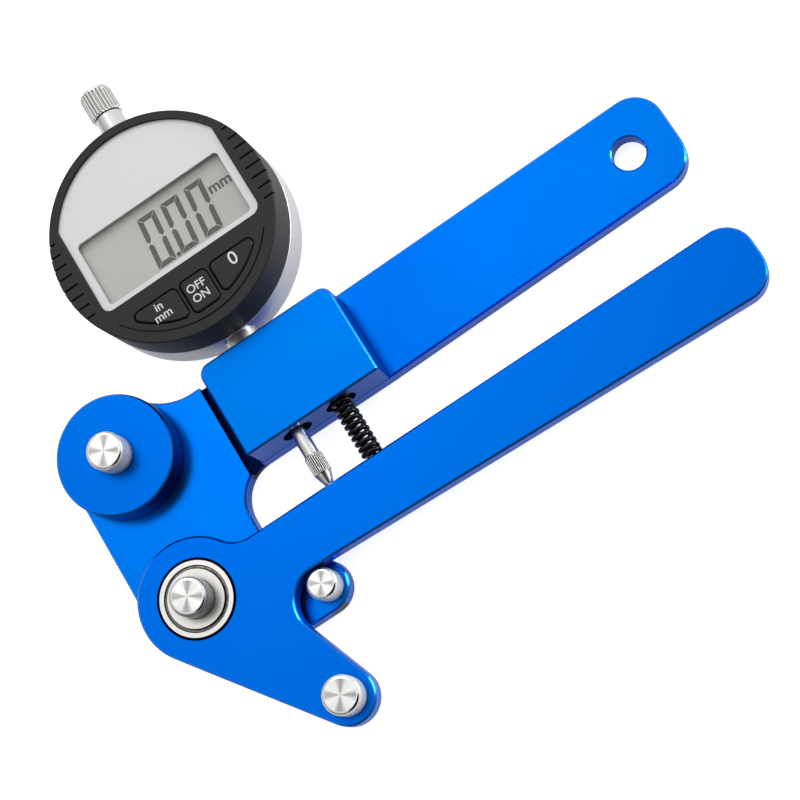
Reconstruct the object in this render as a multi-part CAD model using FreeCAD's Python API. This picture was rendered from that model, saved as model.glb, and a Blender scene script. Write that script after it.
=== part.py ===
import FreeCAD, Part
import math
import os

os.makedirs("parts", exist_ok=True)

# Spoke tension meter, lying on the back of its fixed plate. Millimetres.
# While it is drawn, x runs along the fixed handle, y runs from the pivot towards the
# indicator's lifting cap, z stands on the back of the plate, and 0, 0 is the pivot axis.
# export() moves every piece so that the origin ends at the middle of the footprint.

# Fixed plate
plate_t = 5.0
body_r = 15.5
disc_post_y = 42.7
handle_low_y = 22.0
handle_width = 25.7
handle_end_x = 159.7
handle_end_low_y = 23.5
handle_end_high_y = 48.8
handle_corner_r = 8.0
hang_hole_r = 4.3
hang_hole_inset = 12.4
hang_hole_y = 35.9
upper_hollow_r = 15.5
slot_left_x = 20.4
slot_r = 10.2
tab_r = 6.8
tab_x = 26.9
tab_y = -12.8
throat_r = 6.0
edge_chamfer = 0.5
hole_chamfer = 0.35

# Moving arm
arm_t = 5.0
arm_gap = 3.0
arm_top_y = 5.85
arm_root_low_y = -8.4
arm_end_low_y = -13.95
arm_end_x = 159.4
arm_corner_r = 7.5
arm_post_x = 20.0
arm_post_y = -40.4
lobe_r = 7.2
neck_r = 11.6
arm_root_r = 8.0
notch_r = 8.4

# Posts and the screws that hold them
post_r = 4.9
post_stand = 7.1
arm_post_stand = 6.3
post_round = 1.0
stop_post_r = 4.0
stop_post_x = 28.2
stop_post_h = 6.6
stop_gap = 0.1
screw_r = 2.0
screw_head_r = 3.9
post_thread = 3.6
arm_post_thread = 2.6
pivot_thread = 6.5
screw_socket_share = 0.6
screw_socket_depth = 1.4
screw_sink = 0.1
thread_gap = 0.05

# Pivot bearing
bearing_r = 9.5
bearing_bore_r = 4.0
bearing_w = 6.0
bearing_proud = 0.2
outer_ring_wall = 1.15
inner_ring_wall = 1.75
ball_r = 1.5
ball_count = 9
race_gap = 0.04
shield_t = 0.3
shield_recess = 0.35
cage_half_w = 1.8
seat_gap = 0.02
seat_chamfer = 0.7
flange_r = 7.35
flange_t = 0.4

# Gauge block
block_left_x = 29.5
block_width = 38.7
block_t = 12.0
block_corner_r = 3.0
block_foot_r = 0.8
stem_fit = 0.05
spring_x = 55.3
spring_hole_r = 4.2
spring_hole_depth = 4.0
clamp_screw_r = 2.0
clamp_screw_y = 41.5
clamp_screw_len = 6.0
block_screw_depth = 9.0
block_screw_spots = [(34.0, 29.5), (63.5, 37.5)]
relief_width = 4.0
relief_depth = 3.0

# Return spring and the pin inside it
spring_r = 2.25
spring_wire_r = 0.57
spring_pitch = 1.65
spring_pin_r = 1.2
spring_pin_stand = 3.5
spring_pin_depth = 5.0
spring_end_gap = 0.15
wire_sides = 8

# Indicator: plunger line
gauge_x = 42.4
spindle_r = 2.0
spindle_fit = 0.05
contact_gap = 0.12
contact_r = 2.35
contact_knurl_len = 5.3
contact_cone_len = 3.5
contact_tip_r = 1.2
stem_r = 4.0
stem_end_y = 25.5
stem_collar_r = 4.5
sleeve_r = 3.7
sleeve_end_y = 120.6
cap_r = 4.35
cap_len = 8.0
cap_round = 1.1
cap_gap = 0.3
cap_flutes = 20
flute_r = 0.35
knurl_flutes = 14

# Indicator: housings
dial_y = 80.2
dial_r = 29.5
dial_back_z = 4.6
dial_seam_z = 15.4
dial_front_z = 27.8
seam_gap = 0.15
seam_chamfer = 0.35
case_wall = 2.6
case_roof_t = 1.0
cover_t = 1.3
cover_spigot = 0.8
cover_screw_r = 1.0
cover_screw_head_r = 1.9
cover_boss_r = 2.6
cover_screw_inset = 2.0
cover_screw_len = 5.0
swivel_wall = 1.8
swivel_top_z = 17.9
swivel_fit = 0.08
head_lip_t = 1.2
head_wall = 2.2
head_ledge_w = 1.9
snap_ring_t = 0.6
snap_ring_play = 0.2
snap_ring_bite = 0.5
snap_groove_depth = 0.6
snap_ring_gap_deg = 8.0
front_wall = 2.6
rim_chamfer = 0.3

# Indicator: face
face_rim_w = 2.2
face_side_inset = 6.3
face_corner_r = 2.5
face_t = 0.8
face_sink = 0.9
face_fit = 0.1
glass_side_frame = 2.1
glass_low_frame = 1.5
glass_high_y = 8.5
glass_corner_r = 1.2
glass_step = 0.6
window_t = 0.5
lcd_border = 1.2
lcd_t = 2.0
key_h = 8.9
key_foot_rise = 0.1
key_face_gap = 4.3
key_split_x = 4.4
key_pitch_gap = 0.65
key_rim_w = 5.0
key_corner_r = 1.3
key_gap = 0.35
key_proud = 0.2
key_travel = 0.5
key_flange = 0.5
key_flange_t = 0.8
notch_count = 8
notch_step = 3.05
notch_top_y = 11.9
notch_reach = 4.3
notch_w = 0.5
notch_depth = 1.3
arc_groove_inset = 2.7
arc_groove_w = 0.45
arc_groove_depth = 0.5
arc_groove_half_deg = 54.0

# Indicator: inside
board_t = 1.2
board_z = 19.2
board_fit = 0.1
board_notch_r = 1.0
dome_r = 2.6
dome_h = 0.6
battery_r = 10.0
battery_t = 3.2
holder_wall = 0.9
holder_lip = 2.0
holder_floor_t = 0.4
ribbon_x = 13.0
ribbon_half_w = 4.0
ribbon_t = 0.2
ribbon_pad = 1.4
connector_w = 2.2
connector_inset = 1.5
carriage_half_w = 3.6
carriage_len = 20.0
carriage_h = 4.6
carriage_y = 72.0
strip_t = 0.8
sensor_gap = 0.3
sensor_half_w = 13.5
sensor_half_len = 14.0
sensor_t = 0.8
pillar_r = 2.0
pillar_x = 11.2
guide_r = 1.0
guide_x = 6.4
coil_r = 2.8
coil_wire_r = 0.3
coil_pitch = 2.4

# Sizes that follow from the ones above
handle_high_y = handle_low_y + handle_width
arm_z = plate_t + arm_gap
arm_top_z = arm_z + arm_t
axis_z = arm_z + arm_t / 2
block_top_z = plate_t + block_t
block_high_y = handle_high_y
block_screw_top_z = plate_t + block_screw_depth - thread_gap
spring_seat_y = handle_low_y + spring_hole_depth
post_top_z = arm_top_z + post_stand
bearing_top_z = arm_top_z + bearing_proud
bearing_z = bearing_top_z - bearing_w / 2
inner_ring_r = bearing_bore_r + inner_ring_wall
outer_ring_r = bearing_r - outer_ring_wall
ball_ring_r = (inner_ring_r + outer_ring_r) / 2
foot_slope = (arm_end_low_y - arm_root_low_y) / arm_end_x
stop_post_y = arm_root_low_y + foot_slope * stop_post_x - stop_gap - stop_post_r
hang_hole_x = handle_end_x - hang_hole_inset
block_right_x = block_left_x + block_width
cap_y = sleeve_end_y + cap_gap
spindle_high_y = cap_y + cap_len / 2
contact_y = arm_top_y + contact_gap
spindle_low_y = contact_y + contact_cone_len + contact_knurl_len
case_top_z = dial_seam_z - seam_gap
case_low_z = dial_back_z + cover_t
case_inner_r = dial_r - case_wall
cover_screw_ring_r = case_inner_r - cover_screw_inset
head_inner_r = dial_r - head_wall
head_ledge_r = head_inner_r - head_ledge_w
snap_ring_r = head_inner_r - snap_ring_play
swivel_r = snap_ring_r - snap_ring_bite
key_reach_r = dial_r - key_rim_w
key_low_y = key_foot_rise - key_reach_r
key_top_y = key_low_y + key_h
face_r = dial_r - face_rim_w
face_half_w = dial_r - face_side_inset
face_low_y = key_top_y + key_face_gap
glass_half_w = face_half_w - glass_side_frame
glass_low_y = face_low_y + glass_low_frame
notch_inner_x = dial_r - notch_reach
arc_groove_r = dial_r - arc_groove_inset
case_ceiling_z = case_top_z - case_roof_t
pocket_z = dial_front_z - face_sink - face_t
head_ceiling_z = dial_front_z - front_wall
head_lip_z = dial_seam_z + head_lip_t
snap_ring_z = head_lip_z + swivel_fit
board_r = head_inner_r - board_fit
sensor_z = axis_z + carriage_h / 2 + strip_t + sensor_gap
through = 200.0

origin = FreeCAD.Vector(
    (handle_end_x - body_r) / 2,
    (cap_y + cap_len + arm_post_y - lobe_r) / 2,
    0,
)


def export(name, *solids):
    """Write one node: its solids, moved into the part's own frame."""
    shape = solids[0] if len(solids) == 1 else Part.makeCompound(list(solids))
    moved = shape.copy()
    moved.translate(-origin)
    moved.exportStep("parts/" + name + ".step")


def prism(points, low_z, high_z):
    """Upright block on a closed outline of straight edges."""
    corners = [FreeCAD.Vector(x, y, low_z) for x, y in points]
    face = Part.Face(Part.makePolygon(corners + corners[:1]))
    return face.extrude(FreeCAD.Vector(0, 0, high_z - low_z))


def block(x0, x1, y0, y1, low_z, high_z):
    return Part.makeBox(x1 - x0, y1 - y0, high_z - low_z, FreeCAD.Vector(x0, y0, low_z))


def drum(radius, low_z, high_z, x=0.0, y=0.0):
    """Cylinder along z."""
    return Part.makeCylinder(radius, high_z - low_z, FreeCAD.Vector(x, y, low_z))


def rod(radius, low_y, high_y, x=gauge_x):
    """Cylinder along y at the height of the plunger."""
    start = FreeCAD.Vector(x, low_y, axis_z)
    return Part.makeCylinder(radius, high_y - low_y, start, FreeCAD.Vector(0, 1, 0))


def ring(outer_r, inner_r, low_z, high_z, x=0.0, y=0.0):
    return drum(outer_r, low_z, high_z, x, y).cut(drum(inner_r, low_z, high_z, x, y))


def joined(*shapes):
    return shapes[0].multiFuse(list(shapes[1:])).removeSplitter()


def upright_edge(solid, x, y):
    """The vertical edge that stands nearest to x, y."""
    def is_upright(edge):
        ends = edge.BoundBox
        return ends.XLength + ends.YLength < 1e-3 < ends.ZLength

    def distance(edge):
        return math.hypot(edge.BoundBox.XMin - x, edge.BoundBox.YMin - y)

    return min(filter(is_upright, solid.Edges), key=distance)


def rounded(solid, corners):
    """Round the vertical edges nearest to each x, y with its radius, one after another."""
    for x, y, radius in corners:
        solid = solid.makeFillet(radius, [upright_edge(solid, x, y)])
    return solid


def level_edges(solid, z):
    """Every edge that lies flat at height z."""
    return [e for e in solid.Edges
            if abs(e.BoundBox.ZMin - z) < 1e-4 and abs(e.BoundBox.ZMax - z) < 1e-4]


def rim_chamfered(solid, z, size):
    return solid.makeChamfer(size, level_edges(solid, z))


def rim_rounded(solid, z, radius):
    return solid.makeFillet(radius, level_edges(solid, z))


def countersink(radius, top_z, size, x, y):
    """Cone that breaks the upper edge of a vertical hole."""
    reach = size + hole_chamfer
    place = FreeCAD.Vector(x, y, top_z - size)
    return Part.makeCone(radius, radius + reach, reach, place)


def tangent_normals(a_radius, b_radius, a, b, side):
    """Normal of the straight line that touches two circles on one side of their centre line."""
    span = b - a
    along = FreeCAD.Vector(span).normalize()
    across = FreeCAD.Vector(-along.y, along.x, 0) * side
    lean = math.asin((a_radius - b_radius) / span.Length)
    return across * math.cos(lean) + along * math.sin(lean)


pivot = FreeCAD.Vector(0, 0, 0)
arm_post = FreeCAD.Vector(arm_post_x, arm_post_y, 0)
lobe_right = tangent_normals(neck_r, lobe_r, pivot, arm_post, 1)
lobe_left = tangent_normals(body_r, lobe_r, pivot, arm_post, -1)


def screw_hole(low_z, high_z, x, y, radius=screw_r, head_r=screw_head_r):
    """Clearance hole with a countersink on its lower end."""
    wide = head_r + thread_gap
    hole = drum(radius + thread_gap, low_z - 1, high_z, x, y)
    cone = Part.makeCone(wide, radius + thread_gap, wide - radius, FreeCAD.Vector(x, y, low_z + screw_sink))
    mouth = drum(wide, low_z - 1, low_z + screw_sink, x, y)
    return joined(hole, cone, mouth)


def countersunk_screw(low_z, high_z, x, y, radius=screw_r, head_r=screw_head_r):
    """Flat-headed screw that comes from below, with a hexagon socket in its head."""
    head_z = low_z + screw_sink
    head = Part.makeCone(head_r, radius, head_r - radius, FreeCAD.Vector(x, y, head_z))
    shank = drum(radius, head_z, high_z, x, y)
    socket_r = radius * screw_socket_share
    hexagon = [(x + socket_r * math.cos(k * math.pi / 3), y + socket_r * math.sin(k * math.pi / 3))
               for k in range(6)]
    depth = screw_socket_depth * radius / screw_r
    return joined(head, shank).cut(prism(hexagon, head_z, head_z + depth))


# Fixed plate

def plate_foot():
    """Part of the plate under the arm: below the pivot and out to the stop post's tab."""
    touch = lobe_left * body_r
    edge = FreeCAD.Vector(-lobe_left.y, lobe_left.x, 0)
    low_y = tab_y - tab_r
    corner = touch + edge * ((low_y - touch.y) / edge.y)
    high_y = tab_y + tab_r
    outline = [(touch.x, touch.y), (corner.x, corner.y), (tab_x, low_y), (tab_x, high_y),
               (slot_left_x, high_y), (slot_left_x, 0), (0, 0)]
    return prism(outline, 0, plate_t), (corner.x, corner.y)


def make_fixed_plate():
    foot, foot_corner = plate_foot()
    handle = prism([(0, handle_low_y), (block_right_x, handle_low_y), (handle_end_x, handle_end_low_y),
                    (handle_end_x, handle_end_high_y), (block_right_x, handle_high_y), (0, handle_high_y)],
                   0, plate_t)
    blank = joined(
        drum(body_r, 0, plate_t),
        drum(body_r, 0, plate_t, 0, disc_post_y),
        drum(tab_r, 0, plate_t, tab_x, tab_y),
        block(-body_r, slot_left_x, 0, disc_post_y, 0, plate_t),
        handle,
        foot,
    )
    lobe_meets_x = math.sqrt(body_r ** 2 - (handle_high_y - disc_post_y) ** 2)
    plate = rounded(blank, [
        (lobe_meets_x, handle_high_y, upper_hollow_r),
        (slot_left_x, handle_low_y, slot_r),
        (slot_left_x, tab_y + tab_r, throat_r),
        (foot_corner[0], foot_corner[1], throat_r),
        (handle_end_x, handle_end_high_y, handle_corner_r),
        (handle_end_x, handle_end_low_y, handle_corner_r),
    ])
    plate = rim_chamfered(plate, plate_t, edge_chamfer)
    relief_x = block_left_x - relief_width
    relief_z = plate_t - relief_depth
    relief = block(relief_x, block_left_x, handle_low_y - 1, handle_high_y + 1, relief_z, plate_t + 1)
    hang = drum(hang_hole_r, -1, plate_t + 1, hang_hole_x, hang_hole_y)
    hang_rim = countersink(hang_hole_r, plate_t, hole_chamfer, hang_hole_x, hang_hole_y)
    holes = [screw_hole(0, plate_t + 1, x, y) for x, y in
             [(0, 0), (0, disc_post_y), (stop_post_x, stop_post_y)] + block_screw_spots]
    return plate.cut(joined(relief, hang, hang_rim)).cut(Part.makeCompound(holes))


# Moving arm

def make_moving_arm():
    handle = prism([(0, arm_top_y), (arm_end_x, arm_top_y), (arm_end_x, arm_end_low_y),
                    (0, arm_root_low_y)], arm_z, arm_top_z)
    web_corners = [lobe_right * neck_r, arm_post + lobe_right * lobe_r,
                   arm_post + lobe_left * lobe_r, lobe_left * body_r]
    web = prism([(p.x, p.y) for p in web_corners], arm_z, arm_top_z)
    blank = joined(drum(body_r, arm_z, arm_top_z),
                   drum(lobe_r, arm_z, arm_top_z, arm_post_x, arm_post_y), web, handle)
    root_x = math.sqrt(body_r ** 2 - arm_top_y ** 2)
    right = arm_post + lobe_right * lobe_r
    slope_x = -lobe_right.y / lobe_right.x
    notch_x = (right.x + slope_x * (arm_root_low_y - right.y)) / (1 - slope_x * foot_slope)
    notch_y = arm_root_low_y + foot_slope * notch_x
    arm = rounded(blank, [
        (root_x, arm_top_y, arm_root_r),
        (notch_x, notch_y, notch_r),
        (arm_end_x, arm_top_y, arm_corner_r),
        (arm_end_x, arm_end_low_y, arm_corner_r),
    ])
    arm = rim_chamfered(arm, arm_top_z, edge_chamfer)
    seat = joined(drum(bearing_r + seat_gap, arm_z - 1, arm_top_z + 1),
                  countersink(bearing_r + seat_gap, arm_top_z, seat_chamfer, 0, 0))
    pin_hole = rod(spring_pin_r + seat_gap, arm_top_y - spring_pin_depth, arm_top_y + 1, spring_x)
    post_hole = screw_hole(arm_z, arm_top_z + 1, arm_post_x, arm_post_y)
    return arm.cut(seat).cut(pin_hole).cut(post_hole)


# Posts

def turned_post(radius, low_z, high_z, x, y, bite):
    """Steel post with a rounded edge and a blind thread for its screw."""
    post = rim_rounded(drum(radius, low_z, high_z, x, y), high_z, post_round)
    return post.cut(drum(screw_r + thread_gap, low_z, low_z + bite, x, y))


def make_pivot_post():
    shank = drum(bearing_bore_r - seat_gap, plate_t, bearing_top_z)
    flange = drum(flange_r, bearing_top_z, bearing_top_z + flange_t)
    head = rim_rounded(drum(post_r, bearing_top_z, post_top_z), post_top_z, post_round)
    bore = drum(screw_r + thread_gap, plate_t, plate_t + pivot_thread)
    return joined(shank, flange, head).cut(bore)


def make_spacer_disc():
    disc = rim_chamfered(drum(body_r, plate_t, arm_top_z, 0, disc_post_y), arm_top_z, edge_chamfer)
    return disc.cut(drum(screw_r + thread_gap, plate_t, arm_top_z, 0, disc_post_y))


# Pivot bearing: two grooved rings, balls in a cage, and two thin shields

def ball_groove():
    return Part.makeTorus(ball_ring_r, ball_r + race_gap, FreeCAD.Vector(0, 0, bearing_z))


def bearing_ring(outer_r, inner_r):
    low_z = bearing_top_z - bearing_w
    return ring(outer_r, inner_r, low_z, bearing_top_z).cut(ball_groove())


def shield(low_z):
    """Thin washer pressed into the outer ring, clear of the inner one."""
    return ring(outer_ring_r, inner_ring_r + 2 * race_gap, low_z, low_z + shield_t)


def ball_spots():
    return [(ball_ring_r * math.cos(2 * math.pi * k / ball_count),
             ball_ring_r * math.sin(2 * math.pi * k / ball_count)) for k in range(ball_count)]


def make_ball_cage():
    half = (outer_ring_r - inner_ring_r) / 2 - 3 * race_gap
    strip = ring(ball_ring_r + half, ball_ring_r - half, bearing_z - cage_half_w, bearing_z + cage_half_w)
    centre = FreeCAD.Vector(0, 0, bearing_z)
    pockets = [Part.makeCylinder(ball_r + race_gap, bearing_r, centre, FreeCAD.Vector(x, y, 0))
               for x, y in ball_spots()]
    return strip.cut(Part.makeCompound(pockets))


# Gauge block

def make_gauge_block():
    blank = block(block_left_x, block_right_x, handle_low_y, block_high_y, plate_t, block_top_z)
    body = rounded(blank, [
        (block_left_x, block_high_y, block_corner_r),
        (block_right_x, block_high_y, block_corner_r),
        (block_left_x, handle_low_y, block_foot_r),
        (block_right_x, handle_low_y, block_foot_r),
    ])
    body = rim_chamfered(body, block_top_z, edge_chamfer)
    stem_bore = rod(stem_r + stem_fit, handle_low_y - 1, block_high_y + 1)
    spring_hole = rod(spring_hole_r, handle_low_y - 1, spring_seat_y, spring_x)
    threads = [drum(screw_r + thread_gap, plate_t, plate_t + block_screw_depth, x, y)
               for x, y in block_screw_spots]
    return body.cut(stem_bore).cut(spring_hole).cut(clamp_screw(clamp_screw_r + thread_gap, through)) \
        .cut(Part.makeCompound(threads))


def clamp_screw(radius, length):
    """Grub screw in the block's left side, its point on the indicator's stem."""
    tip_x = gauge_x - stem_r - stem_fit
    start = FreeCAD.Vector(tip_x, clamp_screw_y, axis_z)
    return Part.makeCylinder(radius, length, start, FreeCAD.Vector(-1, 0, 0))


def make_clamp_screw():
    body = clamp_screw(clamp_screw_r, clamp_screw_len)
    mouth_x = gauge_x - stem_r - stem_fit - clamp_screw_len
    start = FreeCAD.Vector(mouth_x, clamp_screw_y, axis_z)
    socket_r = clamp_screw_r * screw_socket_share
    return body.cut(Part.makeCylinder(socket_r, screw_socket_depth, start, FreeCAD.Vector(1, 0, 0)))


# Springs

def coil(radius, wire_r, pitch, low_y, high_y, x):
    """Wire wound round the y direction between two heights."""
    height = high_y - low_y - 2 * wire_r
    path = Part.makeHelix(pitch, height, radius)
    along = FreeCAD.Vector(0, 1, pitch / (2 * math.pi * radius)).normalize()
    outward = FreeCAD.Vector(1, 0, 0)
    across = along.cross(outward)
    angles = [2 * math.pi * k / wire_sides for k in range(wire_sides)]
    rim = [outward * (radius + wire_r * math.cos(a)) + across * (wire_r * math.sin(a)) for a in angles]
    section = Part.makePolygon(rim + rim[:1])
    pipe = Part.Wire(path.Edges).makePipeShell([section], True, True)
    pipe.rotate(FreeCAD.Vector(0, 0, 0), FreeCAD.Vector(1, 0, 0), -90)
    pipe.translate(FreeCAD.Vector(x, low_y + wire_r, axis_z))
    return pipe


# Indicator: plunger line

def fluted(solid, radius, low_y, high_y, count):
    """Straight grooves along y, evenly round a turned part."""
    grooves = []
    for k in range(count):
        turn = 2 * math.pi * k / count
        start = FreeCAD.Vector(gauge_x + radius * math.cos(turn), low_y, axis_z + radius * math.sin(turn))
        grooves.append(Part.makeCylinder(flute_r, high_y - low_y, start, FreeCAD.Vector(0, 1, 0)))
    return solid.cut(Part.makeCompound(grooves))


def turned(profile):
    """Body of revolution about the plunger line from (radius, y) points."""
    points = [FreeCAD.Vector(gauge_x + r, y, axis_z) for r, y in profile]
    face = Part.Face(Part.makePolygon(points + points[:1]))
    return face.revolve(FreeCAD.Vector(gauge_x, 0, axis_z), FreeCAD.Vector(0, 1, 0), 360)


def make_contact_point():
    neck_y = contact_y + contact_cone_len
    tip = turned([(0, contact_y), (contact_tip_r, contact_y), (contact_r, neck_y), (contact_r, spindle_low_y),
                  (0, spindle_low_y)])
    return fluted(tip, contact_r + flute_r / 2, neck_y, spindle_low_y, knurl_flutes)


def make_lifting_cap():
    end_y = cap_y + cap_len
    body = rod(cap_r, cap_y, end_y)
    end_rim = [e for e in body.Edges if e.BoundBox.YMin > end_y - cap_round]
    crown = body.makeFillet(cap_round, end_rim)
    grip = fluted(crown, cap_r + flute_r / 2, cap_y, end_y - cap_round, cap_flutes)
    return grip.cut(rod(spindle_r, cap_y, spindle_high_y))


# Indicator: housings

def make_rear_case():
    shell = drum(dial_r, case_low_z, case_top_z, gauge_x, dial_y)
    shell = rim_chamfered(shell, case_top_z, seam_chamfer)
    shell = joined(shell, drum(swivel_r, case_top_z, swivel_top_z, gauge_x, dial_y))
    shell = shell.cut(drum(case_inner_r, case_low_z, case_ceiling_z, gauge_x, dial_y))
    shell = shell.cut(drum(swivel_r - swivel_wall, case_ceiling_z, swivel_top_z, gauge_x, dial_y))
    groove_r = swivel_r - snap_groove_depth
    groove_top_z = snap_ring_z + snap_ring_t + swivel_fit
    shell = shell.cut(ring(dial_r, groove_r, head_lip_z, groove_top_z, gauge_x, dial_y))
    bosses = [drum(cover_boss_r, case_low_z + cover_spigot, case_ceiling_z, x, y)
              for x, y in cover_screw_spots()]
    threads = [drum(cover_screw_r + thread_gap, case_low_z, case_low_z + cover_screw_len, x, y)
               for x, y in cover_screw_spots()]
    shell = joined(shell, *bosses).cut(Part.makeCompound(threads))
    return shell.cut(rod(stem_r, dial_y - dial_r - 1, dial_y)).cut(rod(sleeve_r, dial_y, dial_y + dial_r + 1))


def cover_screw_spots():
    spread = cover_screw_ring_r / math.sqrt(2)
    return [(gauge_x + sx * spread, dial_y + sy * spread) for sx in (-1, 1) for sy in (-1, 1)]


def make_back_cover():
    plate = drum(dial_r, dial_back_z, case_low_z, gauge_x, dial_y)
    plate = rim_chamfered(plate, dial_back_z, seam_chamfer)
    spigot = drum(case_inner_r - swivel_fit, case_low_z, case_low_z + cover_spigot, gauge_x, dial_y)
    pillars = [drum(pillar_r, case_low_z, sensor_z, gauge_x + side * pillar_x, dial_y) for side in (-1, 1)]
    holes = [screw_hole(dial_back_z, case_low_z + cover_spigot, x, y, cover_screw_r, cover_screw_head_r)
             for x, y in cover_screw_spots()]
    return joined(plate, spigot, *pillars).cut(Part.makeCompound(holes))


def make_stem():
    """Ground tube that the block holds, with a collar against the case."""
    inner_y = dial_y - case_inner_r
    tube = rod(stem_r, stem_end_y, inner_y)
    dial = drum(dial_r, dial_back_z, case_top_z, gauge_x, dial_y)
    collar = rod(stem_collar_r, block_high_y + stem_fit, dial_y).cut(dial)
    return joined(tube, collar).cut(rod(spindle_r + spindle_fit, stem_end_y, inner_y))


def make_upper_sleeve():
    inner_y = dial_y + case_inner_r
    return rod(sleeve_r, inner_y, sleeve_end_y).cut(rod(spindle_r + spindle_fit, inner_y, sleeve_end_y))


def key_outline(side, low_z, high_z, grow):
    """Keys share a band under the glass: a square one in the middle, a pointed one each side.

    side -1, 0 or 1 picks the key, and grow widens it all round.
    """
    reach = key_reach_r + grow
    low = key_low_y - grow
    high = key_top_y + grow
    round_r = key_corner_r + grow
    half = key_split_x - key_pitch_gap + grow
    if side == 0:
        solid = block(gauge_x - half, gauge_x + half, dial_y + low, dial_y + high, low_z, high_z)
        corners = [(gauge_x + sx * half, dial_y + y, round_r) for sx in (-1, 1) for y in (low, high)]
        return rounded(solid, corners)
    near = key_split_x + key_pitch_gap - grow
    x0, x1 = sorted([gauge_x + side * near, gauge_x + side * reach])
    band = block(x0, x1, dial_y - reach, dial_y + high, low_z, high_z)
    solid = band.common(drum(reach, low_z, high_z, gauge_x, dial_y))
    tip_x = math.sqrt(reach ** 2 - high ** 2)
    return rounded(solid, [
        (gauge_x + side * near, dial_y + high, round_r),
        (gauge_x + side * near, dial_y - math.sqrt(reach ** 2 - near ** 2), round_r),
        (gauge_x + side * tip_x, dial_y + high, round_r),
    ])


def face_outline(low_z, high_z, grow):
    """D-shaped plate: round above, straight at its sides and foot."""
    half = face_half_w + grow
    low = dial_y + face_low_y - grow
    band = block(gauge_x - half, gauge_x + half, low, dial_y + dial_r, low_z, high_z)
    solid = band.common(drum(face_r + grow, low_z, high_z, gauge_x, dial_y))
    return rounded(solid, [(gauge_x + sx * half, low, face_corner_r + grow) for sx in (-1, 1)])


def glass_outline(low_z, high_z, grow):
    """Rounded rectangle of the display, widened all round by grow."""
    half = glass_half_w + grow
    low = dial_y + glass_low_y - grow
    high = dial_y + glass_high_y + grow
    solid = block(gauge_x - half, gauge_x + half, low, high, low_z, high_z)
    corners = [(gauge_x + sx * half, y, glass_corner_r + max(grow, 0)) for sx in (-1, 1) for y in (low, high)]
    return rounded(solid, corners)


def grip_notches():
    """Cuts across both flanks of the front rim, for a finger to turn it."""
    cuts = []
    for k in range(notch_count):
        y = dial_y + notch_top_y - k * notch_step
        for side in (-1, 1):
            x0, x1 = sorted([gauge_x + side * notch_inner_x, gauge_x + side * (dial_r + 1)])
            low_z = dial_front_z - notch_depth
            cuts.append(block(x0, x1, y - notch_w / 2, y + notch_w / 2, low_z, dial_front_z + 1))
    return Part.makeCompound(cuts)


def arc_groove():
    """Shallow groove that follows the rim below the keys."""
    centre = FreeCAD.Vector(gauge_x, dial_y, dial_front_z - arc_groove_depth)
    up = FreeCAD.Vector(0, 0, 1)
    start = 270 - arc_groove_half_deg
    wedge = Part.makeCylinder(arc_groove_r, arc_groove_depth + 1, centre, up, 2 * arc_groove_half_deg)
    wedge = wedge.cut(drum(arc_groove_r - arc_groove_w, centre.z, dial_front_z + 2, gauge_x, dial_y))
    wedge.rotate(centre, up, start)
    return wedge


def make_front_case():
    shell = drum(dial_r, dial_seam_z, dial_front_z, gauge_x, dial_y)
    shell = rim_chamfered(shell, dial_front_z, rim_chamfer)
    shell = shell.cut(drum(swivel_r + swivel_fit, dial_seam_z, head_lip_z, gauge_x, dial_y))
    shell = shell.cut(drum(head_inner_r, head_lip_z, board_z + board_t, gauge_x, dial_y))
    shell = shell.cut(drum(head_ledge_r, board_z + board_t, head_ceiling_z, gauge_x, dial_y))
    shell = shell.cut(face_outline(pocket_z, dial_front_z + 1, face_fit))
    shell = shell.cut(glass_outline(head_ceiling_z - 1, dial_front_z, glass_step))
    for side in (-1, 0, 1):
        shell = shell.cut(key_outline(side, head_ceiling_z - 1, dial_front_z + 1, key_gap))
    return shell.cut(grip_notches()).cut(arc_groove())


def make_snap_ring():
    """Open ring in the rear case's groove that keeps the display head on."""
    groove_r = swivel_r - snap_groove_depth
    top_z = snap_ring_z + snap_ring_t
    hoop = ring(snap_ring_r, groove_r, snap_ring_z, top_z, gauge_x, dial_y)
    half_gap = dial_r * math.tan(math.radians(snap_ring_gap_deg / 2))
    return hoop.cut(block(gauge_x - half_gap, gauge_x + half_gap, dial_y, dial_y + dial_r, snap_ring_z, top_z))


def make_face_plate():
    plate = face_outline(pocket_z, pocket_z + face_t, 0)
    return plate.cut(glass_outline(pocket_z - 1, dial_front_z, 0))


def make_key(side):
    top_z = dial_front_z + key_proud
    flange_top = head_ceiling_z - seam_gap
    cap = key_outline(side, flange_top, top_z, 0)
    cap = rim_chamfered(cap, top_z, rim_chamfer)
    flange = key_outline(side, flange_top - key_flange_t, flange_top, key_flange)
    x, y = key_centre(side)
    stud_z = board_z + board_t + dome_h + key_travel + seam_gap
    stud = drum(dome_r / 2, stud_z, flange_top - key_flange_t, x, y)
    return joined(cap, flange, stud)


def key_centre(side):
    return gauge_x + side * (key_split_x + dome_r * 2), dial_y + (key_top_y + key_low_y) / 2 + abs(side)


# Indicator: inside

def make_circuit_board():
    board = drum(board_r, board_z, board_z + board_t, gauge_x, dial_y)
    return board.cut(drum(board_notch_r, board_z, board_z + board_t, gauge_x, dial_y + board_r))


def make_key_domes():
    low_z = board_z + board_t
    return [Part.makeCone(dome_r, dome_r / 2, dome_h, FreeCAD.Vector(x, y, low_z))
            for x, y in map(key_centre, (-1, 0, 1))]


def make_lcd_panel():
    top_z = head_ceiling_z - seam_gap
    return glass_outline(top_z - lcd_t, top_z, glass_step + lcd_border)


def make_lcd_connector():
    low = dial_y + glass_high_y - connector_inset
    high_z = head_ceiling_z - seam_gap - lcd_t
    return block(gauge_x - glass_half_w, gauge_x + glass_half_w, low, low + connector_w, board_z + board_t, high_z)


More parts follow.
